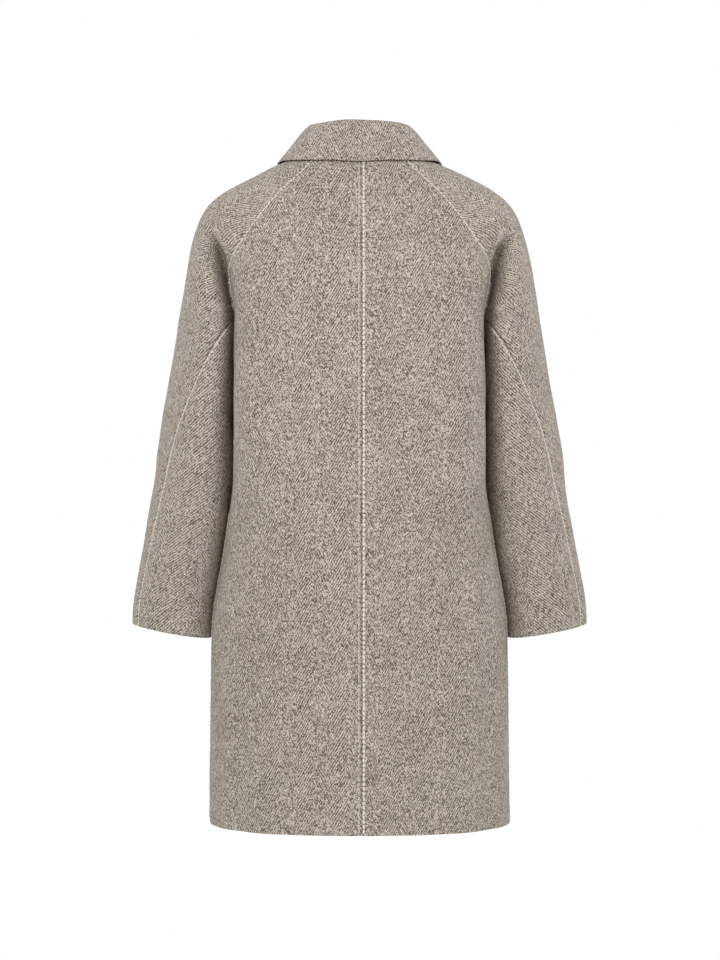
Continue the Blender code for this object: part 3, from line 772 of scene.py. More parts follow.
def crest_reach(outward):
    """Distance from the neck's centre to the crest of the collar's roll: an oval in plan."""
    depth = CREST_FRONT if outward[1] > 0.0 else CREST_BACK
    power = CREST_FRONT_POWER if outward[1] > 0.0 else CREST_BACK_POWER
    across = abs(outward[0]) / CREST_HALF_WIDTH
    along = abs(outward[1]) / depth
    return (across**power + along**power) ** (-1.0 / power)


def collar_section(around, shares):
    """Section of the collar: up the stand from the neck seam, over the roll and down the fall."""
    up = np.array([0.0, 0.0, 1.0])
    seam = garment_point(around, 0.0)
    outward = unit((seam - NECK_CENTRE) * np.array([1.0, 1.0, 0.0]))
    neck = seam + up * COLLAR_GAP
    crest = NECK_CENTRE + outward * crest_reach(outward) + up * (seam[2] + size(COLLAR, "height", around))
    edge_around = size(COLLAR, "edge_around", around)
    edge_row = size(COLLAR, "edge_share", around)
    lift = size(COLLAR, "lift", around)
    edge = garment_point(edge_around, edge_row) + lift * garment_normal(edge_around, edge_row)
    stand_top = crest - outward * COLLAR_ROLL - up * COLLAR_ROLL_DROP
    fall_top = crest + outward * COLLAR_ROLL - up * COLLAR_ROLL_DROP
    fall_middle = 0.5 * (fall_top + edge) + size(COLLAR, "bulge", around) * unit(outward + up)
    stand_middle = 0.5 * (neck + stand_top)
    return through((neck, stand_middle, stand_top, crest, fall_top, fall_middle, edge), shares)


def edged(total, count, crowding=0.0):
    """Distances along a line of a set length, crowded to both ends, with more for the rounded edge."""
    near = np.concatenate(([0.0], EDGE_LINES[:-1]))
    shares = np.linspace(0.0, 1.0, count)
    shares = shares - crowding * np.sin(2.0 * math.pi * shares) / (2.0 * math.pi)
    between = EDGE_LINES[-1] + (total - 2.0 * EDGE_LINES[-1]) * shares
    return np.concatenate((near, between, total - near[::-1]))


def edged_rows(line, first, last, count_parts):
    """Rows of a piece from first to last, with more near both ends for the rounded edge."""
    step = 0.002
    middle = np.array([0.5])
    rows = np.concatenate([np.linspace(a, b, n, endpoint=False) for a, b, n in count_parts])
    head = np.linalg.norm(line(first + step, middle) - line(first, middle)) / step
    tail = np.linalg.norm(line(last, middle) - line(last - step, middle)) / step
    before = first + EDGE_LINES / head
    after = last - EDGE_LINES[::-1] / tail
    between = rows[(rows > before[-1] + step) & (rows < after[0] - step)]
    return np.concatenate(([first], before, between, after, [last]))


def woven(line, rows, starts, ends, count, crowding=0.0):
    """Points of a piece at set distances along each of its rows, and the places of the points."""
    points = []
    places = []
    for row, start, end in zip(rows, starts, ends):
        dense = np.linspace(start, end, DENSE_COLUMNS)
        run = lengths(line(row, dense), axis=0)
        places.append(np.interp(edged(run[-1], count, crowding), run, dense))
        points.append(line(row, places[-1]))
    return np.array(points), np.array(places)


def level_length(points):
    """Level distance along each row of a grid of points."""
    return lengths(points * np.array([1.0, 1.0, 0.0]), axis=1)


def zero_place(measure, places, at):
    """A measure along each row, counted from where the row's place has the given value."""
    order = np.sign(places[0, -1] - places[0, 0])
    start = [np.interp(order * at, order * p, m) for p, m in zip(places, measure)]
    return measure - np.array(start)[:, None]


def back_grid():
    """The wearer's right half of the back."""
    rows = edged_rows(back_line, 0.0, 2.0, [(0.0, 1.0, CAP_ROWS), (1.0, 2.0, SKIRT_ROWS)])
    points, _ = woven(back_line, rows, 0.0 * rows, 1.0 + 0.0 * rows, BODY_COLUMNS)
    return {
        "rows": rows, "points": points, "facing": 1.0,
        "across": level_length(points), "down": -points[..., 2],
    }


def front_edge(row):
    """Place of the front's free edge, past the centre front by the lap."""
    drop, turn = panel_level(row, front=True)
    dip = FRONT_NECK_DIP * max(0.0, 1.0 - row)
    return -math.atan2(LAP, size(BODY, "front_depth", drop + dip)) / turn


def front_grid():
    """The wearer's right half of the front, with its lap past the centre front."""
    rows = edged_rows(front_line, 0.0, 2.0, [(0.0, 1.0, CAP_ROWS), (1.0, 2.0, SKIRT_ROWS)])
    ends = np.array([front_edge(row) for row in rows])
    points, places = woven(front_line, rows, 1.0 + 0.0 * rows, ends, BODY_COLUMNS)
    return {
        "rows": rows, "points": points, "facing": 1.0,
        "across": -zero_place(level_length(points), places, 0.0), "down": -points[..., 2],
    }


def upper_grid():
    """The wearer's right upper sleeve, from the neck to the cuff."""
    rows = edged_rows(sleeve_line, 0.0, 2.0, [(0.0, 1.0, CAP_ROWS), (1.0, 2.0, TUBE_ROWS)])
    share = np.maximum(rows - 1.0, 0.0)
    starts = size(SLEEVE_SEAM, "behind", share)
    ends = 1.0 - size(SLEEVE_SEAM, "before", share)
    points, places = woven(sleeve_line, rows, starts, ends, UPPER_COLUMNS, UPPER_CROWDING)
    run = lengths(points, axis=1)
    hold = smooth_step(*EASED_FROM_SIDES, np.minimum(run, run[:, -1:] - run))
    hold = hold * (1.0 - smooth_step(*EASED_ROWS, np.abs(rows - EASED_MIDDLE)))[:, None]
    for _ in range(EASE_ROUNDS):
        even = 0.5 * (points[:-2] + points[2:])
        points[1:-1] += 0.5 * hold[1:-1, :, None] * (even - points[1:-1])
    ridge = np.array([sleeve_line(row, np.array([0.5]))[0] for row in rows])
    return {
        "rows": rows, "points": points, "facing": 1.0,
        "across": zero_place(lengths(points, axis=1), places, 0.5),
        "down": np.broadcast_to(lengths(ridge, axis=0)[:, None], places.shape),
    }


def under_grid():
    """The wearer's right under sleeve, from the armpit to the cuff."""
    rows = edged_rows(sleeve_line, FIRST_UNDER_ROW, 2.0, [(FIRST_UNDER_ROW, 2.0, TUBE_ROWS)])
    share = rows - 1.0
    starts = size(SLEEVE_SEAM, "behind", share)
    ends = -size(SLEEVE_SEAM, "before", share)
    points, places = woven(sleeve_line, rows, starts, ends, UNDER_COLUMNS)
    inner = np.array([sleeve_line(row, np.array([0.0]))[0] for row in rows])
    return {
        "rows": rows, "points": points, "facing": -1.0,
        "across": zero_place(lengths(points, axis=1), places, 0.0),
        "down": np.broadcast_to(lengths(inner, axis=0)[:, None], places.shape),
    }


def collar_grid():
    """The collar, from the wearer's left end round the back to the right end."""
    seam = garment_point(0.0, 0.0)
    middle = collar_section(0.0, np.linspace(0.0, 1.0, COLLAR_ROWS))
    depth = np.linalg.norm(np.diff(middle, axis=0), axis=1).sum()
    rows = edged(depth, COLLAR_ROWS) / depth
    places = COLLAR_END * np.linspace(0.0, 1.0, COLLAR_SECTIONS_HALF + 1)
    right = np.array([collar_section(around, rows) for around in places])
    left = right[:0:-1] * np.array([-1.0, 1.0, 1.0])
    right[0, :, 0] = seam[0]
    points = np.concatenate((left, right)).transpose(1, 0, 2)
    hold = np.clip(rows / COLLAR_SEWN, 0.0, 1.0)[:, None, None]
    for share in COLLAR_EASE:
        even = 0.5 * (points[:, :-2] + points[:, 2:])
        points[:, 1:-1] += share * hold * (even - points[:, 1:-1])
    runs = lengths(points, axis=1)[:, -1]
    points = np.array(
        [through(line, edged(run, COLLAR_COLUMNS) / run) for line, run in zip(points, runs)]
    )
    along = lengths(points[len(rows) // 2], axis=0)
    return {
        "rows": rows, "points": points, "facing": -1.0,
        "across": np.broadcast_to(along - 0.5 * along[-1], points.shape[:2]),
        "down": lengths(points, axis=0),
    }


GRIDS = {
    "back": back_grid,
    "front": front_grid,
    "sleeve_upper": upper_grid,
    "sleeve_under": under_grid,
    "collar": collar_grid,
}


@functools.cache
def grid_of(kind):
    """The even grid of a kind of cut piece, on the right side."""
    return GRIDS[kind]()


def grid_normals(points, facing):
    """Outward direction at each point of a grid of points."""
    down = np.gradient(points, axis=0)
    across = np.gradient(points, axis=1)
    return facing * unit(np.cross(down, across))


def crease_height(kind, side, across, down):
    """Height of a piece's creases above its smooth form."""
    height = np.zeros(across.shape)
    creases = CREASES[kind]
    for i in np.flatnonzero(creases["side"] * side >= 0.0):
        start = np.array([creases["start_across"][i], creases["start_down"][i]])
        way = np.array([creases["end_across"][i], creases["end_down"][i]]) - start
        reach = np.hypot(*way)
        share = ((across - start[0]) * way[0] + (down - start[1]) * way[1]) / reach**2
        aside = ((across - start[0]) * way[1] - (down - start[1]) * way[0]) / reach
        aside = aside - creases["bow"][i] * 4.0 * share * (1.0 - share)
        taper = smooth_step(0.0, CREASE_FADE, share) * smooth_step(0.0, CREASE_FADE, 1.0 - share)
        height -= creases["depth"][i] * taper * np.exp(-((aside / creases["width"][i]) ** 2))
    return height


def wave_height(side, across, down):
    """Broad, shallow waves of cloth that hangs free, from -1 to 1."""
    height = np.zeros(across.shape)
    for share, wide, tall, turn in zip(*WAVES.values()):
        phase = turn + (LEFT_TURN if side < 0.0 else 0.0)
        height += share * np.sin(2.0 * math.pi * (across / wide + down / tall) + phase)
    return height


@functools.cache
def cut_piece(kind, side):
    """A cut piece with its creases: middle of the cloth, outward direction, half thickness and weave."""
    sizes = settings().sizes
    grid = grid_of(kind)
    points = grid["points"]
    across = lengths(points, axis=1)
    down = lengths(points, axis=0)
    from_sides = np.minimum(across, across[:, -1:] - across)
    from_seams = np.minimum(from_sides, down)
    from_edges = np.minimum(from_seams, down[-1:] - down)

    height = crease_height(kind, side, grid["across"], grid["down"])
    height += sizes.unevenness * wave_height(side, grid["across"], grid["down"])
    height *= smooth_step(0.0, SEAM_FADE, from_seams)
    near = from_sides / PUCKER_REACH
    ripple = np.sin(2.0 * math.pi * down / PUCKER_WAVE + 2.0 * np.sin(down / PUCKER_WAVE))
    height += sizes.pucker * ripple * near * np.exp(1.0 - near) * smooth_step(0.0, SEAM_FADE, down)
    if kind != "collar":
        dip = sizes.seam_dip * np.exp(-((from_sides / SEAM_DIP_REACH) ** 2))
        if kind == "back":
            beside_fold = smooth_step(*BESIDE_FOLD, grid["rows"])[:, None]
            dip = dip * (1.0 - beside_fold * (across > 0.5 * across[:, -1:]))
        height -= dip
    if kind == "back":
        slide = side * CENTRE_SEAM_SHIFT * (1.0 - smooth_step(0.0, CENTRE_SEAM_REACH, points[..., 0]))
        points = points + slide[..., None] * np.array([1.0, 0.0, 0.0])
    if kind == "front" and side > 0:
        height += LAP_LIFT * (1.0 - smooth_step(LAP, LAP + LAP_EASE, points[..., 0]))

    points = points + grid_normals(points, grid["facing"]) * height[..., None]
    normals = grid_normals(points, grid["facing"])
    radius = 0.5 * sizes.cloth
    depth = radius - np.minimum(from_edges, radius)
    half = np.sqrt(np.maximum(radius**2 - depth**2, 0.0))
    hand = 1.0 if side >= 0 else -1.0
    flip = np.array([hand, 1.0, 1.0])
    lean = STRIPE_LEANS.get((kind, side), hand)
    shift = STRIPE_SHIFTS.get((kind, side), 0.0)
    return {
        "rows": grid["rows"],
        "middle": (points - radius * normals) * flip,
        "normals": normals * flip,
        "half": half,
        "facing": grid["facing"] * hand,
        "across": grid["across"] * lean + shift,
        "down": grid["down"],
    }


def outer_points(piece):
    """Points on the outer side of a cut piece."""
    return piece["middle"] + piece["half"][..., None] * piece["normals"]


def add_piece(name, mesh, material):
    """Link a finished mesh as a piece of the coat that rides on its body."""
    mesh.materials.append(material)
    mesh.shade_smooth()
    piece = bpy.data.objects.new(name, mesh)
    bpy.context.scene.collection.objects.link(piece)
    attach(piece, BODY_NAME)
    return piece


def cloth_mesh(name, piece):
    """Closed mesh of a cut piece: its outer and inner sides meet in the rounded edge."""
    rows, columns = piece["half"].shape
    outer = outer_points(piece).reshape(-1, 3)
    inner = (piece["middle"] - piece["half"][..., None] * piece["normals"]).reshape(-1, 3)
    number = np.arange(rows * columns).reshape(rows, columns)
    inside = np.zeros((rows, columns), bool)
    inside[1:-1, 1:-1] = True
    inner_number = number.copy()
    inner_number[inside] = rows * columns + np.arange(inside.sum())

    corners = np.stack(
        (number[:-1, :-1], number[1:, :-1], number[1:, 1:], number[:-1, 1:]), axis=-1
    ).reshape(-1, 4)
    if piece["facing"] < 0.0:
        corners = corners[:, ::-1]
    turned = corners[:, ::-1]
    faces = np.concatenate((corners, inner_number.ravel()[turned]))
    mesh = bpy.data.meshes.new(name)
    mesh.from_pydata(np.concatenate((outer, inner[inside.ravel()])), [], faces.tolist())
    grain = np.stack((piece["across"], piece["down"]), axis=-1).reshape(-1, 2)
    layer = mesh.uv_layers.new(name=WEAVE_MAP)
    layer.uv.foreach_set("vector", grain[np.concatenate((corners, turned))].astype(np.float32).ravel())
    return mesh


def add_cloth(kind, side, material):
    """Add a cut piece in place of its solid."""
    node = kind if side == 0 else kind + ("_right" if side > 0 else "_left")
    name = node + "_cloth"
    piece = add_piece(name, cloth_mesh(name, cut_piece(kind, side)), material)
    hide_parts(node)
    return piece


class Wire:
    """An output of a material's nodes; arithmetic on wires adds Math nodes."""

    def __init__(self, tree, socket):
        self.tree = tree
        self.socket = socket

    @classmethod
    def node(cls, tree, kind, node_settings, sockets, output=0):
        """Add a node: first its settings, then the values or wires of its sockets."""
        made = tree.nodes.new(kind)
        for name, value in node_settings.items():
            setattr(made, name, value)
        for name, value in sockets.items():
            if isinstance(value, Wire):
                tree.links.new(value.socket, made.inputs[name])
            else:
                made.inputs[name].default_value = value
        return cls(tree, made.outputs[output])

    def math(self, operation, *values):
        """A Math node on this wire, or on the values given in its place."""
        sockets = dict(enumerate(values or (self,)))
        return self.node(self.tree, "ShaderNodeMath", {"operation": operation}, sockets)

    def __add__(self, other):
        return self.math("ADD", self, other)

    def __sub__(self, other):
        return self.math("SUBTRACT", self, other)

    def __rsub__(self, other):
        return self.math("SUBTRACT", other, self)

    def __mul__(self, other):
        return self.math("MULTIPLY", self, other)

    def __truediv__(self, other):
        return self.math("DIVIDE", self, other)

    __radd__ = __add__
    __rmul__ = __mul__

    def smooth(self, low, high):
        """0 below low, 1 above high, and a smooth rise between them."""
        return self.node(
            self.tree, "ShaderNodeMapRange", {"interpolation_type": "SMOOTHSTEP"},
            {"Value": self, "From Min": low, "From Max": high},
        )

    def noise(self, kind):
        """Soft noise of a kind from 0 to 1 at places on this wire."""
        scale, detail = NOISES[kind]
        return self.node(
            self.tree, "ShaderNodeTexNoise", {"noise_dimensions": "3D"},
            {"Vector": self, "Scale": scale, "Detail": detail},
        )


def new_material(name, constants):
    """A material, its node tree and its shader, with the constant values of the shader's sockets."""
    material = bpy.data.materials.new(name)
    material.use_nodes = True
    shader = material.node_tree.nodes["Principled BSDF"]
    for socket, value in constants.items():
        shader.inputs[socket].default_value = value
    return material, material.node_tree, shader


def mixed(tree, share, first, second, blend="MIX"):
    """Two colours mixed by a share."""
    return Wire.node(
        tree, "ShaderNodeMix", {"data_type": "RGBA", "blend_type": blend},
        {0: share, 6: first, 7: second}, output=2,
    )


def solid_place(tree):
    """Places in the object's own space."""
    return Wire.node(tree, "ShaderNodeTexCoord", {}, {}, output=3)


def dress(tree, shader, colour, relief, strength, distance):
    """Give a shader its colour, and a relief of a set height."""
    bump = Wire.node(
        tree, "ShaderNodeBump", {}, {"Strength": strength, "Distance": distance, "Height": relief}
    )
    tree.links.new(colour.socket, shader.inputs["Base Color"])
    tree.links.new(bump.socket, shader.inputs["Normal"])


def wool(name, stripes, repeat, slope, contrast, middle, faint, flecks):
    """Herringbone wool: light lengthwise yarns over dark ones, in stripes that lean to and fro."""
    weave = settings().weave
    colours = settings().colours
    material, tree, shader = new_material(name, WOOL_SHEEN)
    grain = Wire.node(tree, "ShaderNodeUVMap", {"uv_map": WEAVE_MAP}, {})
    place = solid_place(tree)
    across = Wire.node(tree, "ShaderNodeSeparateXYZ", {}, {0: grain}, output=0)
    down = Wire.node(tree, "ShaderNodeSeparateXYZ", {}, {0: grain}, output=1)

    across = across + STRAY_ACROSS * (place.noise("stray_across") - 0.5)
    down = down + STRAY_DOWN * (place.noise("stray_down") - 0.5)
    pair = (across / sum(stripes)).math("FRACT")
    odd = pair.math("GREATER_THAN", pair, stripes[0] / sum(stripes))
    lean = 1.0 - 2.0 * odd
    column = (across / weave.yarn).math("FLOOR")
    step = weave.yarn * slope / repeat
    climb = down / repeat + lean * column * step + 0.5 * odd
    float_share = climb.math("FRACT")
    crossing = 2.0 * (float_share - 0.5).math("ABSOLUTE")
    light = 0.5 + (crossing.smooth(*FLOAT_EDGE) - 0.5) * (1.0 - (1.0 - faint) * odd)

    yarn_side = 2.0 * (across / weave.yarn).math("FRACT") - 1.0
    yarn_round = 1.0 - yarn_side * yarn_side
    weft_side = 2.0 * (WEFTS_IN_REPEAT * down / repeat).math("FRACT") - 1.0
    weft_round = 1.0 - weft_side * weft_side
    warp = light * (WARP_FLOOR + (1.0 - WARP_FLOOR) * yarn_round)
    height = warp + (1.0 - light) * WEFT_HEIGHT * weft_round

    fleck = (flecks * climb).math("FLOOR")
    cell = Wire.node(tree, "ShaderNodeCombineXYZ", {}, {0: column, 1: fleck})
    chance = Wire.node(tree, "ShaderNodeTexWhiteNoise", {"noise_dimensions": "2D"}, {"Vector": cell})
    # Yarn height is painted shade here: raised crests lighter, the grooves between yarns darker
    shade = DARKEST + LIGHTENING["light"] * light + LIGHTENING["height"] * height
    shade = shade + LIGHTENING["chance"] * (chance - 0.5)
    relief = height
    for kind in ("fibre", "slub", "mottle"):
        noise = place.noise(kind) - 0.5
        shade = shade + LIGHTENING[kind] * noise
        if kind in LIFTING:
            relief = relief + LIFTING[kind] * noise
    half = SHADE_REACH / contrast
    share = shade.smooth(middle - half, middle + half)
    colour = mixed(tree, share, colours.dark_yarn, colours.light_yarn)
    dress(tree, shader, colour, relief, WOOL_BUMP, weave.relief)
    return material


def sewing_wool():
    """Cream sewing yarn with a soft twist."""
    colours = settings().colours
    material, tree, shader = new_material("sewing_wool", SEWING_SHEEN)
    twist = solid_place(tree).noise("twist")
    shaded = mixed(tree, 1.0, colours.sewing_yarn, SEWING_SHADE, blend="MULTIPLY")
    colour = mixed(tree, twist.smooth(*TWIST_EDGE), shaded, colours.sewing_yarn)
    dress(tree, shader, colour, twist, SEWING_BUMP, SEWING_RELIEF)
    return material


def horn():
    """Polished brown horn with drawn-out streaks."""
    colours = settings().colours
    material, tree, shader = new_material("button_horn_streaked", HORN_POLISH)
    sockets = {0: solid_place(tree), "Scale": HORN_STRETCH}
    streak = Wire.node(tree, "ShaderNodeMapping", {}, sockets).noise("streak")
    warm = mixed(tree, 1.0, colours.horn, HORN_WARMTH, blend="MULTIPLY")
    colour = mixed(tree, streak.smooth(*STREAK_EDGE), colours.horn, warm)
    rough = HORN_ROUGHNESS + STREAK_ROUGHNESS * streak
    tree.links.new(rough.socket, shader.inputs["Roughness"])
    dress(tree, shader, colour, streak, HORN_BUMP, HORN_RELIEF)
    return material


@functools.cache
def material_of(finish):
    """The material of a finish, made once."""
    weave = settings().weave
    body = (weave.body_stripe, weave.body_stripe)
    sleeve = (weave.sleeve_stripe, weave.return_stripe)
    wools = {
        "body": (body, weave.body_repeat, BODY_SLOPE),
        "sleeve": (sleeve, weave.sleeve_repeat, SLEEVE_SLOPE),
        "collar": (body, weave.body_repeat, COLLAR_SLOPE),
    }
    if finish in wools:
        return wool("herringbone_" + finish, *wools[finish], **WOOLS[finish])
    return {"sewing": sewing_wool, "horn": horn}[finish]()


def stitch_form():
    """Points and faces of one stitch of length 1 and radius 1, plump at its ends."""
    turns = 2.0 * math.pi * np.arange(STITCH_SIDES) / STITCH_SIDES
    rings = [
        np.stack((np.full(STITCH_SIDES, along), radius * np.cos(turns), radius * np.sin(turns)), axis=-1)
        for along, radius in zip(STITCH_RINGS["along"][1:-1], STITCH_RINGS["radius"][1:-1])
    ]
    ends = np.array([[STITCH_RINGS["along"][0], 0.0, 0.0], [STITCH_RINGS["along"][-1], 0.0, 0.0]])
    points = np.concatenate(rings + [ends])
    first, last = len(points) - 2, len(points) - 1
    faces = []
    for k in range(STITCH_SIDES):
        n = (k + 1) % STITCH_SIDES
        for ring in range(len(rings) - 1):
            a = ring * STITCH_SIDES
            faces.append((a + k, a + STITCH_SIDES + k, a + STITCH_SIDES + n, a + n))
        faces.append((first, k, n))
        base = (len(rings) - 1) * STITCH_SIDES
        faces.append((last, base + n, base + k))
    return points, faces


def stitched(name, stitches):
    """One mesh of many stitches, each a (centre, along, out, length, width, height)."""
    form, form_faces = stitch_form()
    points = []
    faces = []
    for centre, along, out, length, width, height in stitches:
        start = len(points) * len(form)
        side = np.cross(out, along)
        points.append(
            centre + form[:, :1] * length * along
            + form[:, 1:2] * 0.5 * width * side + form[:, 2:] * height * out
        )
        faces += [tuple(start + corner for corner in face) for face in form_faces]
    mesh = bpy.data.meshes.new(name)
    mesh.from_pydata(np.concatenate(points), [], faces)
    return mesh


def line_beside(piece, at_end, inset, first_row, last_row):
    """Points and outward directions on a piece, at a set distance inside one of its side edges."""
    order = slice(None, None, -1 if at_end else 1)
    outer = outer_points(piece)[:, order]
    facing = piece["normals"][:, order]
    seam = unit(np.gradient(outer[:, 0], axis=0))
    inside = unit(outer[:, len(EDGE_LINES) + 1] - outer[:, 0])
    slant = np.linalg.norm(np.cross(seam, inside), axis=-1)
    points = []
    normals = []
    for i in np.flatnonzero((piece["rows"] >= first_row) & (piece["rows"] <= last_row)):
        run = lengths(outer[i], axis=0)
        at = inset / max(slant[i], LEAST_SLANT)
        points.append([np.interp(at, run, outer[i, :, k]) for k in range(3)])
        normals.append([np.interp(at, run, facing[i, :, k]) for k in range(3)])
    return np.array(points), unit(np.array(normals))


def seam_stitches(line, width, twist, chance):
    """A run of stitches along a line on the cloth, each a little unlike the last."""
    points, normals = line
    pitch = settings().sizes.stitch_pitch
    run = lengths(points, axis=0)
    middles = np.arange(STITCH_START * pitch, run[-1] - STITCH_END * pitch, pitch)
    stitches = []
    for number, at in enumerate(middles):
        at = at + STITCH_STRAY * pitch * chance.uniform(-1.0, 1.0)
        ends = [
            np.array([np.interp(at + shift, run, points[:, k]) for k in range(3)])
            for shift in (-STITCH_GRIP * pitch, STITCH_GRIP * pitch)
        ]
        out = unit(np.array([np.interp(at, run, normals[:, k]) for k in range(3)]))
        along = unit(ends[1] - ends[0])
        turn = math.radians(twist) * (1.0 if number % 2 else -1.0)
        turn = turn + STITCH_TURN * chance.uniform(-1.0, 1.0)
        along = math.cos(turn) * along + math.sin(turn) * np.cross(out, along)
        long = pitch * chance.uniform(*STITCH_LENGTHS)
        wide = width * chance.uniform(*STITCH_WIDTHS)
        centre = 0.5 * (ends[0] + ends[1]) + STITCH_RISE * width * out
        stitches.append((centre, along, out, long, wide, STITCH_HEIGHT * wide))
    return stitches


class COAT_OT_back(bpy.types.Operator):
    """Make the two halves of the back"""

    bl_idname = "coat.back"
    bl_label = "Back halves"

    def execute(self, context):
        for side in (1, -1):
            add_cloth("back", side, material_of("body"))
        return {"FINISHED"}


class COAT_OT_front(bpy.types.Operator):
    """Make the two halves of the front, the right over the left"""

    bl_idname = "coat.front"
    bl_label = "Front halves"

    def execute(self, context):
        for side in (1, -1):
            add_cloth("front", side, material_of("body"))
        return {"FINISHED"}


class COAT_OT_sleeves(bpy.types.Operator):
    """Make the raglan sleeves, each of an upper and an under piece"""

    bl_idname = "coat.sleeves"
    bl_label = "Raglan sleeves"

    def execute(self, context):
        for side in (1, -1):
            add_cloth("sleeve_upper", side, material_of("sleeve"))
            add_cloth("sleeve_under", side, material_of("sleeve"))
        return {"FINISHED"}


class COAT_OT_collar(bpy.types.Operator):
    """Make the turned-down collar"""

    bl_idname = "coat.collar"
    bl_label = "Collar"

    def execute(self, context):
        add_cloth("collar", 0, material_of("collar"))
        return {"FINISHED"}


class COAT_OT_sewing(bpy.types.Operator):
    """Sew the seams: a bold stitch at the centre back and a fine one elsewhere"""

    bl_idname = "coat.sewing"
    bl_label = "Sewing"

    def execute(self, context):
        sizes = context.scene.coat.sizes
        chance = np.random.default_rng(11)
        fine = sizes.fine_stitch
        inset = sizes.stitch_inset
        runs = {"sewing_centre_back": [], "sewing_raglan": [], "sewing_sleeves": [], "sewing_sides": []}
        bold = line_beside(cut_piece("back", 1), False, inset, 0.0, 2.0)
        faint = line_beside(cut_piece("back", -1), False, FAINT_INSET * inset, 0.0, 2.0)
        runs["sewing_centre_back"] += seam_stitches(bold, sizes.bold_stitch, BOLD_TWIST, chance)
        runs["sewing_centre_back"] += seam_stitches(faint, FAINT_WIDTH * fine, FAINT_TWIST, chance)
        for side in (1, -1):
            for kind, at_end in (("back", True), ("front", False)):
                for name, first in (("sewing_raglan", 0.0), ("sewing_sides", 1.0)):
                    seam = line_beside(cut_piece(kind, side), at_end, inset, first, first + 1.0)
                    runs[name] += seam_stitches(seam, fine, FINE_TWIST, chance)
            under = cut_piece("sleeve_under", side)
            for at_end in (False, True):
                seam = line_beside(under, at_end, inset, SLEEVE_SEWN_FROM, 2.0)
                runs["sewing_sleeves"] += seam_stitches(seam, SLEEVE_WIDTH * fine, FINE_TWIST, chance)
        for name, stitches in runs.items():
            add_piece(name, stitched(name, stitches), material_of("sewing"))
        return {"FINISHED"}


def button_seat(drop):
    """Where a button lies on the lapped front, with its directions across, up and out."""
    step = 0.01
    seat = body_point(drop, 0.0, front=True)
    slope = body_point(drop + step, 0.0, front=True) - body_point(drop - step, 0.0, front=True)
    up = -unit(slope)
    across = np.array([1.0, 0.0, 0.0])
    out = np.cross(across, up)
    return seat, across, up, out * np.sign(out[1])


class COAT_OT_buttonholes(bpy.types.Operator):
    """Work a buttonhole beside each button on the right front"""

    bl_idname = "coat.buttonholes"
    bl_label = "Buttonholes"

    def execute(self, context):
        sizes = context.scene.coat.sizes
        chance = np.random.default_rng(5)
        stitches = []
        for drop in BUTTON_DROPS:
            seat, across, up, out = button_seat(drop)
            surface = seat + out * LAP_LIFT
            start = surface + across * BUTTONHOLE_START
            for at in np.arange(0.0, sizes.buttonhole, BAR_PITCH):
                for half in (1.0, -1.0):
                    bar = unit(up * half + across * BAR_STRAY * chance.uniform(-1.0, 1.0))
                    centre = start + across * at + up * half * LIP
                    stitches.append((centre, bar, out, BAR_LENGTH, BAR_WIDTH, BAR_HEIGHT))
            for turn in np.linspace(-FAN_TURN, FAN_TURN, FAN_BARS):
                bar = unit(across * math.cos(turn) + up * math.sin(turn))
                centre = start + across * sizes.buttonhole + bar * LIP
                stitches.append((centre, bar, out, BAR_LENGTH, BAR_WIDTH, BAR_HEIGHT))
        add_piece("buttonholes", stitched("buttonholes", stitches), material_of("sewing"))
        return {"FINISHED"}


def turned_mesh(profile, sides):
    """Closed turned form, from the (radius, height) points of its profile, ends on the axis."""
    form = bmesh.new()
    rings = []
    for radius, height in profile:
        turns = [0.0] if radius < ON_AXIS else [2.0 * math.pi * i / sides for i in range(sides)]
        rings.append([form.verts.new((radius * math.cos(t), radius * math.sin(t), height)) for t in turns])
    for upper, lower in zip(rings, rings[1:]):
        for i in range(sides):
            k = (i + 1) % sides
            above = (upper[i % len(upper)], upper[k % len(upper)])
            below = (lower[i % len(lower)], lower[k % len(lower)])
            ring = (above[0], below[0], below[1], above[1])
            form.faces.new(list(dict.fromkeys(ring)))
    return form


def workpiece(name, form):
    """An object in the scene from a bmesh, which is freed."""
    mesh = bpy.data.meshes.new(name)
    form.to_mesh(mesh)
    form.free()
    made = bpy.data.objects.new(name, mesh)
    bpy.context.scene.collection.objects.link(made)
    return made


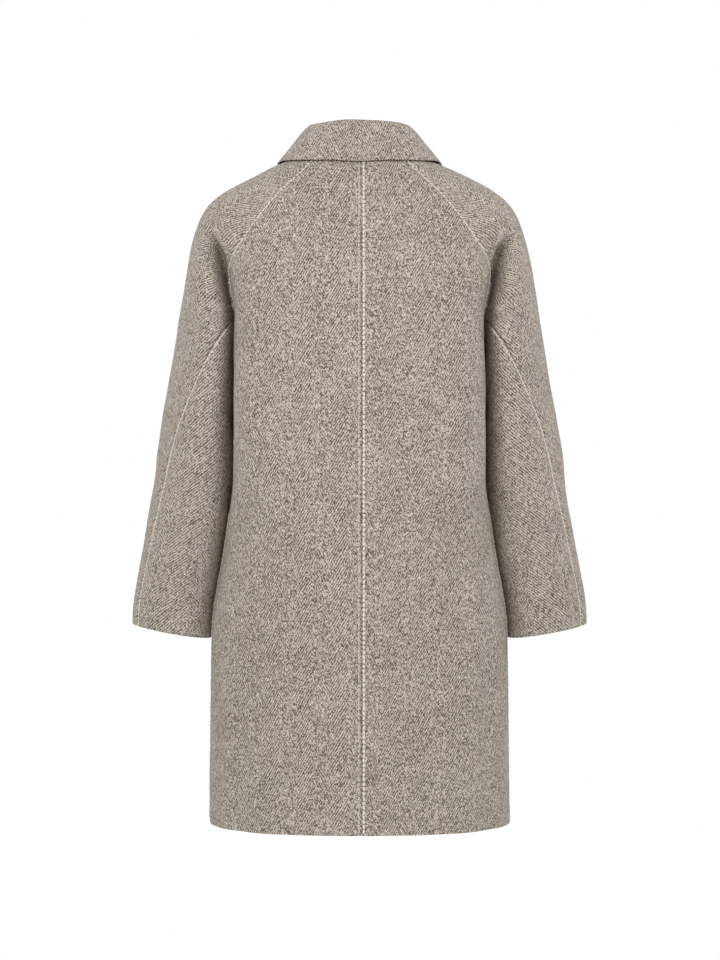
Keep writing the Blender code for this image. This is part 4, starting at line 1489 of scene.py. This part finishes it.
def button_mesh(name, base, across, up, out):
    """A dished button with a rolled rim and four holes, laid on its seat."""
    radius = BUTTON_RADIUS * BUTTON_PROFILE["radius"]
    height = BUTTON_HEIGHT * BUTTON_PROFILE["height"]
    profile = np.stack((radius, 0.0 * radius, height), axis=-1)
    smooth = through(profile, np.linspace(0.0, 1.0, BUTTON_RINGS))
    smooth[0, 0] = 0.0
    smooth[-1, 0] = 0.0
    form = turned_mesh(np.maximum(smooth[:, [0, 2]], 0.0), BUTTON_SIDES)
    disc = workpiece(name + "_disc", form)
    drills = bmesh.new()
    for x in (-HOLE_REACH, HOLE_REACH):
        for y in (-HOLE_REACH, HOLE_REACH):
            made = bmesh.ops.create_cone(
                drills, cap_ends=True, segments=HOLE_SIDES, depth=DRILL_LENGTH,
                radius1=HOLE_RADIUS, radius2=HOLE_RADIUS,
            )
            bmesh.ops.translate(drills, verts=made["verts"], vec=(x, y, 0.0))
    drill = workpiece(name + "_drill", drills)
    cut = disc.modifiers.new("holes", "BOOLEAN")
    cut.object = drill
    cut.solver = "EXACT"
    cut.use_self = False
    drilled = disc.evaluated_get(bpy.context.evaluated_depsgraph_get())
    mesh = bpy.data.meshes.new_from_object(drilled)
    mesh.name = name
    bpy.data.objects.remove(disc, do_unlink=True)
    bpy.data.objects.remove(drill, do_unlink=True)
    points = np.empty(3 * len(mesh.vertices))
    mesh.vertices.foreach_get("co", points)
    points = points.reshape(-1, 3)
    placed = base + points[:, :1] * across + points[:, 1:2] * up + points[:, 2:] * out
    mesh.vertices.foreach_set("co", placed.ravel())
    if np.dot(np.cross(across, up), out) < 0.0:
        mesh.flip_normals()
    mesh.set_sharp_from_angle(angle=BUTTON_EDGE)
    mesh.materials.clear()
    return mesh


class COAT_OT_buttons(bpy.types.Operator):
    """Turn the four horn buttons, drill them and sew them on"""

    bl_idname = "coat.buttons"
    bl_label = "Buttons"

    def execute(self, context):
        for number, drop in enumerate(BUTTON_DROPS, start=1):
            node = "button_" + str(number)
            seat, across, up, out = button_seat(drop)
            base = seat + out * (LAP_LIFT + SEAM_GAP)
            mesh = button_mesh(node + "_horn", base, across, up, out)
            piece = add_piece(node + "_horn", mesh, material_of("horn"))
            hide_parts(node)
            thread = []
            rise = BUTTON_FLOOR * BUTTON_HEIGHT + THREAD_RISE
            length = 2.0 * HOLE_REACH + THREAD_PAST_HOLES
            for half in (1.0, -1.0):
                centre = base + across * half * HOLE_REACH + out * rise
                thread.append((centre, up, out, length, THREAD_WIDTH, THREAD_HEIGHT))
            name = node + "_thread"
            add_piece(name, stitched(name, thread), material_of("sewing"))
        return {"FINISHED"}


class COAT_OT_stage(bpy.types.Operator):
    """Set the floor, the light and the camera"""

    bl_idname = "coat.stage"
    bl_label = "Stage"

    def execute(self, context):
        stage = context.scene.coat.stage
        self.add_floor(context, stage)
        self.add_light(context, stage)
        self.add_camera(context, stage)
        return {"FINISHED"}

    def add_floor(self, context, stage):
        """A plain pale round floor under the coat."""
        disc = bmesh.new()
        bmesh.ops.create_circle(disc, cap_ends=True, segments=FLOOR_SIDES, radius=FLOOR_RADIUS)
        material, tree, shader = new_material("floor_pale", {"Roughness": FLOOR_ROUGHNESS})
        mottle = FLOOR_MOTTLE * solid_place(tree).noise("floor")
        tinted = mixed(tree, mottle, context.scene.coat.colours.floor, FLOOR_TINT)
        tree.links.new(tinted.socket, shader.inputs["Base Color"])
        floor = workpiece("floor", disc)
        floor.data.materials.append(material)
        floor.location.z = -stage.floor_drop

    def add_light(self, context, stage):
        """Surroundings that look white and light the coat softly, and four large softboxes."""
        world = bpy.data.worlds.new("white_studio")
        world.use_nodes = True
        tree = world.node_tree
        seen = Wire.node(tree, "ShaderNodeLightPath", {}, {})
        strength = stage.fill + (1.0 - stage.fill) * seen
        sky = tree.nodes["Background"]
        sky.inputs["Color"].default_value = (1.0, 1.0, 1.0, 1.0)
        tree.links.new(strength.socket, sky.inputs["Strength"])
        context.scene.world = world
        context.scene.view_settings.view_transform = "Standard"
        middle = Vector((0.0, 0.0, stage.camera_height))
        for azimuth, share in zip(SOFTBOXES["azimuth"], SOFTBOXES["share"]):
            turn = math.radians(azimuth)
            lamp = bpy.data.lights.new("softbox", "AREA")
            lamp.shape = "RECTANGLE"
            lamp.size = SOFTBOX_WIDTH
            lamp.size_y = SOFTBOX_HEIGHT
            lamp.energy = stage.softbox * share
            softbox = bpy.data.objects.new("softbox", lamp)
            way = Vector((math.sin(turn), -math.cos(turn), SOFTBOX_RISE))
            softbox.location = middle + SOFTBOX_DISTANCE * way
            softbox.rotation_euler = way.to_track_quat("Z", "Y").to_euler()
            softbox.visible_camera = False
            context.scene.collection.objects.link(softbox)

    def add_camera(self, context, stage):
        """A camera level with the coat's middle, square to its back."""
        lens = bpy.data.cameras.new("camera")
        lens.lens = stage.camera_lens
        camera = bpy.data.objects.new("camera", lens)
        camera.location = (CAMERA_ASIDE, -stage.camera_distance, stage.camera_height)
        camera.rotation_euler = (math.radians(90.0), 0.0, 0.0)
        context.scene.collection.objects.link(camera)
        context.scene.camera = camera


OPERATORS = (
    COAT_OT_stage,
    COAT_OT_back,
    COAT_OT_front,
    COAT_OT_sleeves,
    COAT_OT_collar,
    COAT_OT_sewing,
    COAT_OT_buttonholes,
    COAT_OT_buttons,
)


class COAT_PT_maker(bpy.types.Panel):
    """The coat's steps and settings"""

    bl_idname = "COAT_PT_maker"
    bl_label = "Raglan Coat"
    bl_space_type = "VIEW_3D"
    bl_region_type = "UI"
    bl_category = "Coat"

    def draw(self, context):
        coat = context.scene.coat
        for operator in OPERATORS:
            self.layout.operator(operator.bl_idname)
        for group in (coat.sizes, coat.weave, coat.colours, coat.stage):
            box = self.layout.box()
            for name in type(group).__annotations__:
                box.prop(group, name)


CLASSES = (CoatSizes, CoatWeave, CoatColours, CoatStage, CoatSettings) + OPERATORS + (COAT_PT_maker,)


def register():
    """Add the coat's settings, steps and panel."""
    for kind in CLASSES:
        bpy.utils.register_class(kind)
    bpy.types.Scene.coat = PointerProperty(type=CoatSettings)


def unregister():
    """Take them away again."""
    del bpy.types.Scene.coat
    for kind in reversed(CLASSES):
        bpy.utils.unregister_class(kind)


def main():
    """Make the coat on its stage."""
    register()
    bpy.ops.coat.stage()
    bpy.ops.coat.back()
    bpy.ops.coat.front()
    bpy.ops.coat.sleeves()
    bpy.ops.coat.collar()
    bpy.ops.coat.sewing()
    bpy.ops.coat.buttonholes()
    bpy.ops.coat.buttons()


if __name__ == "__main__":
    main()
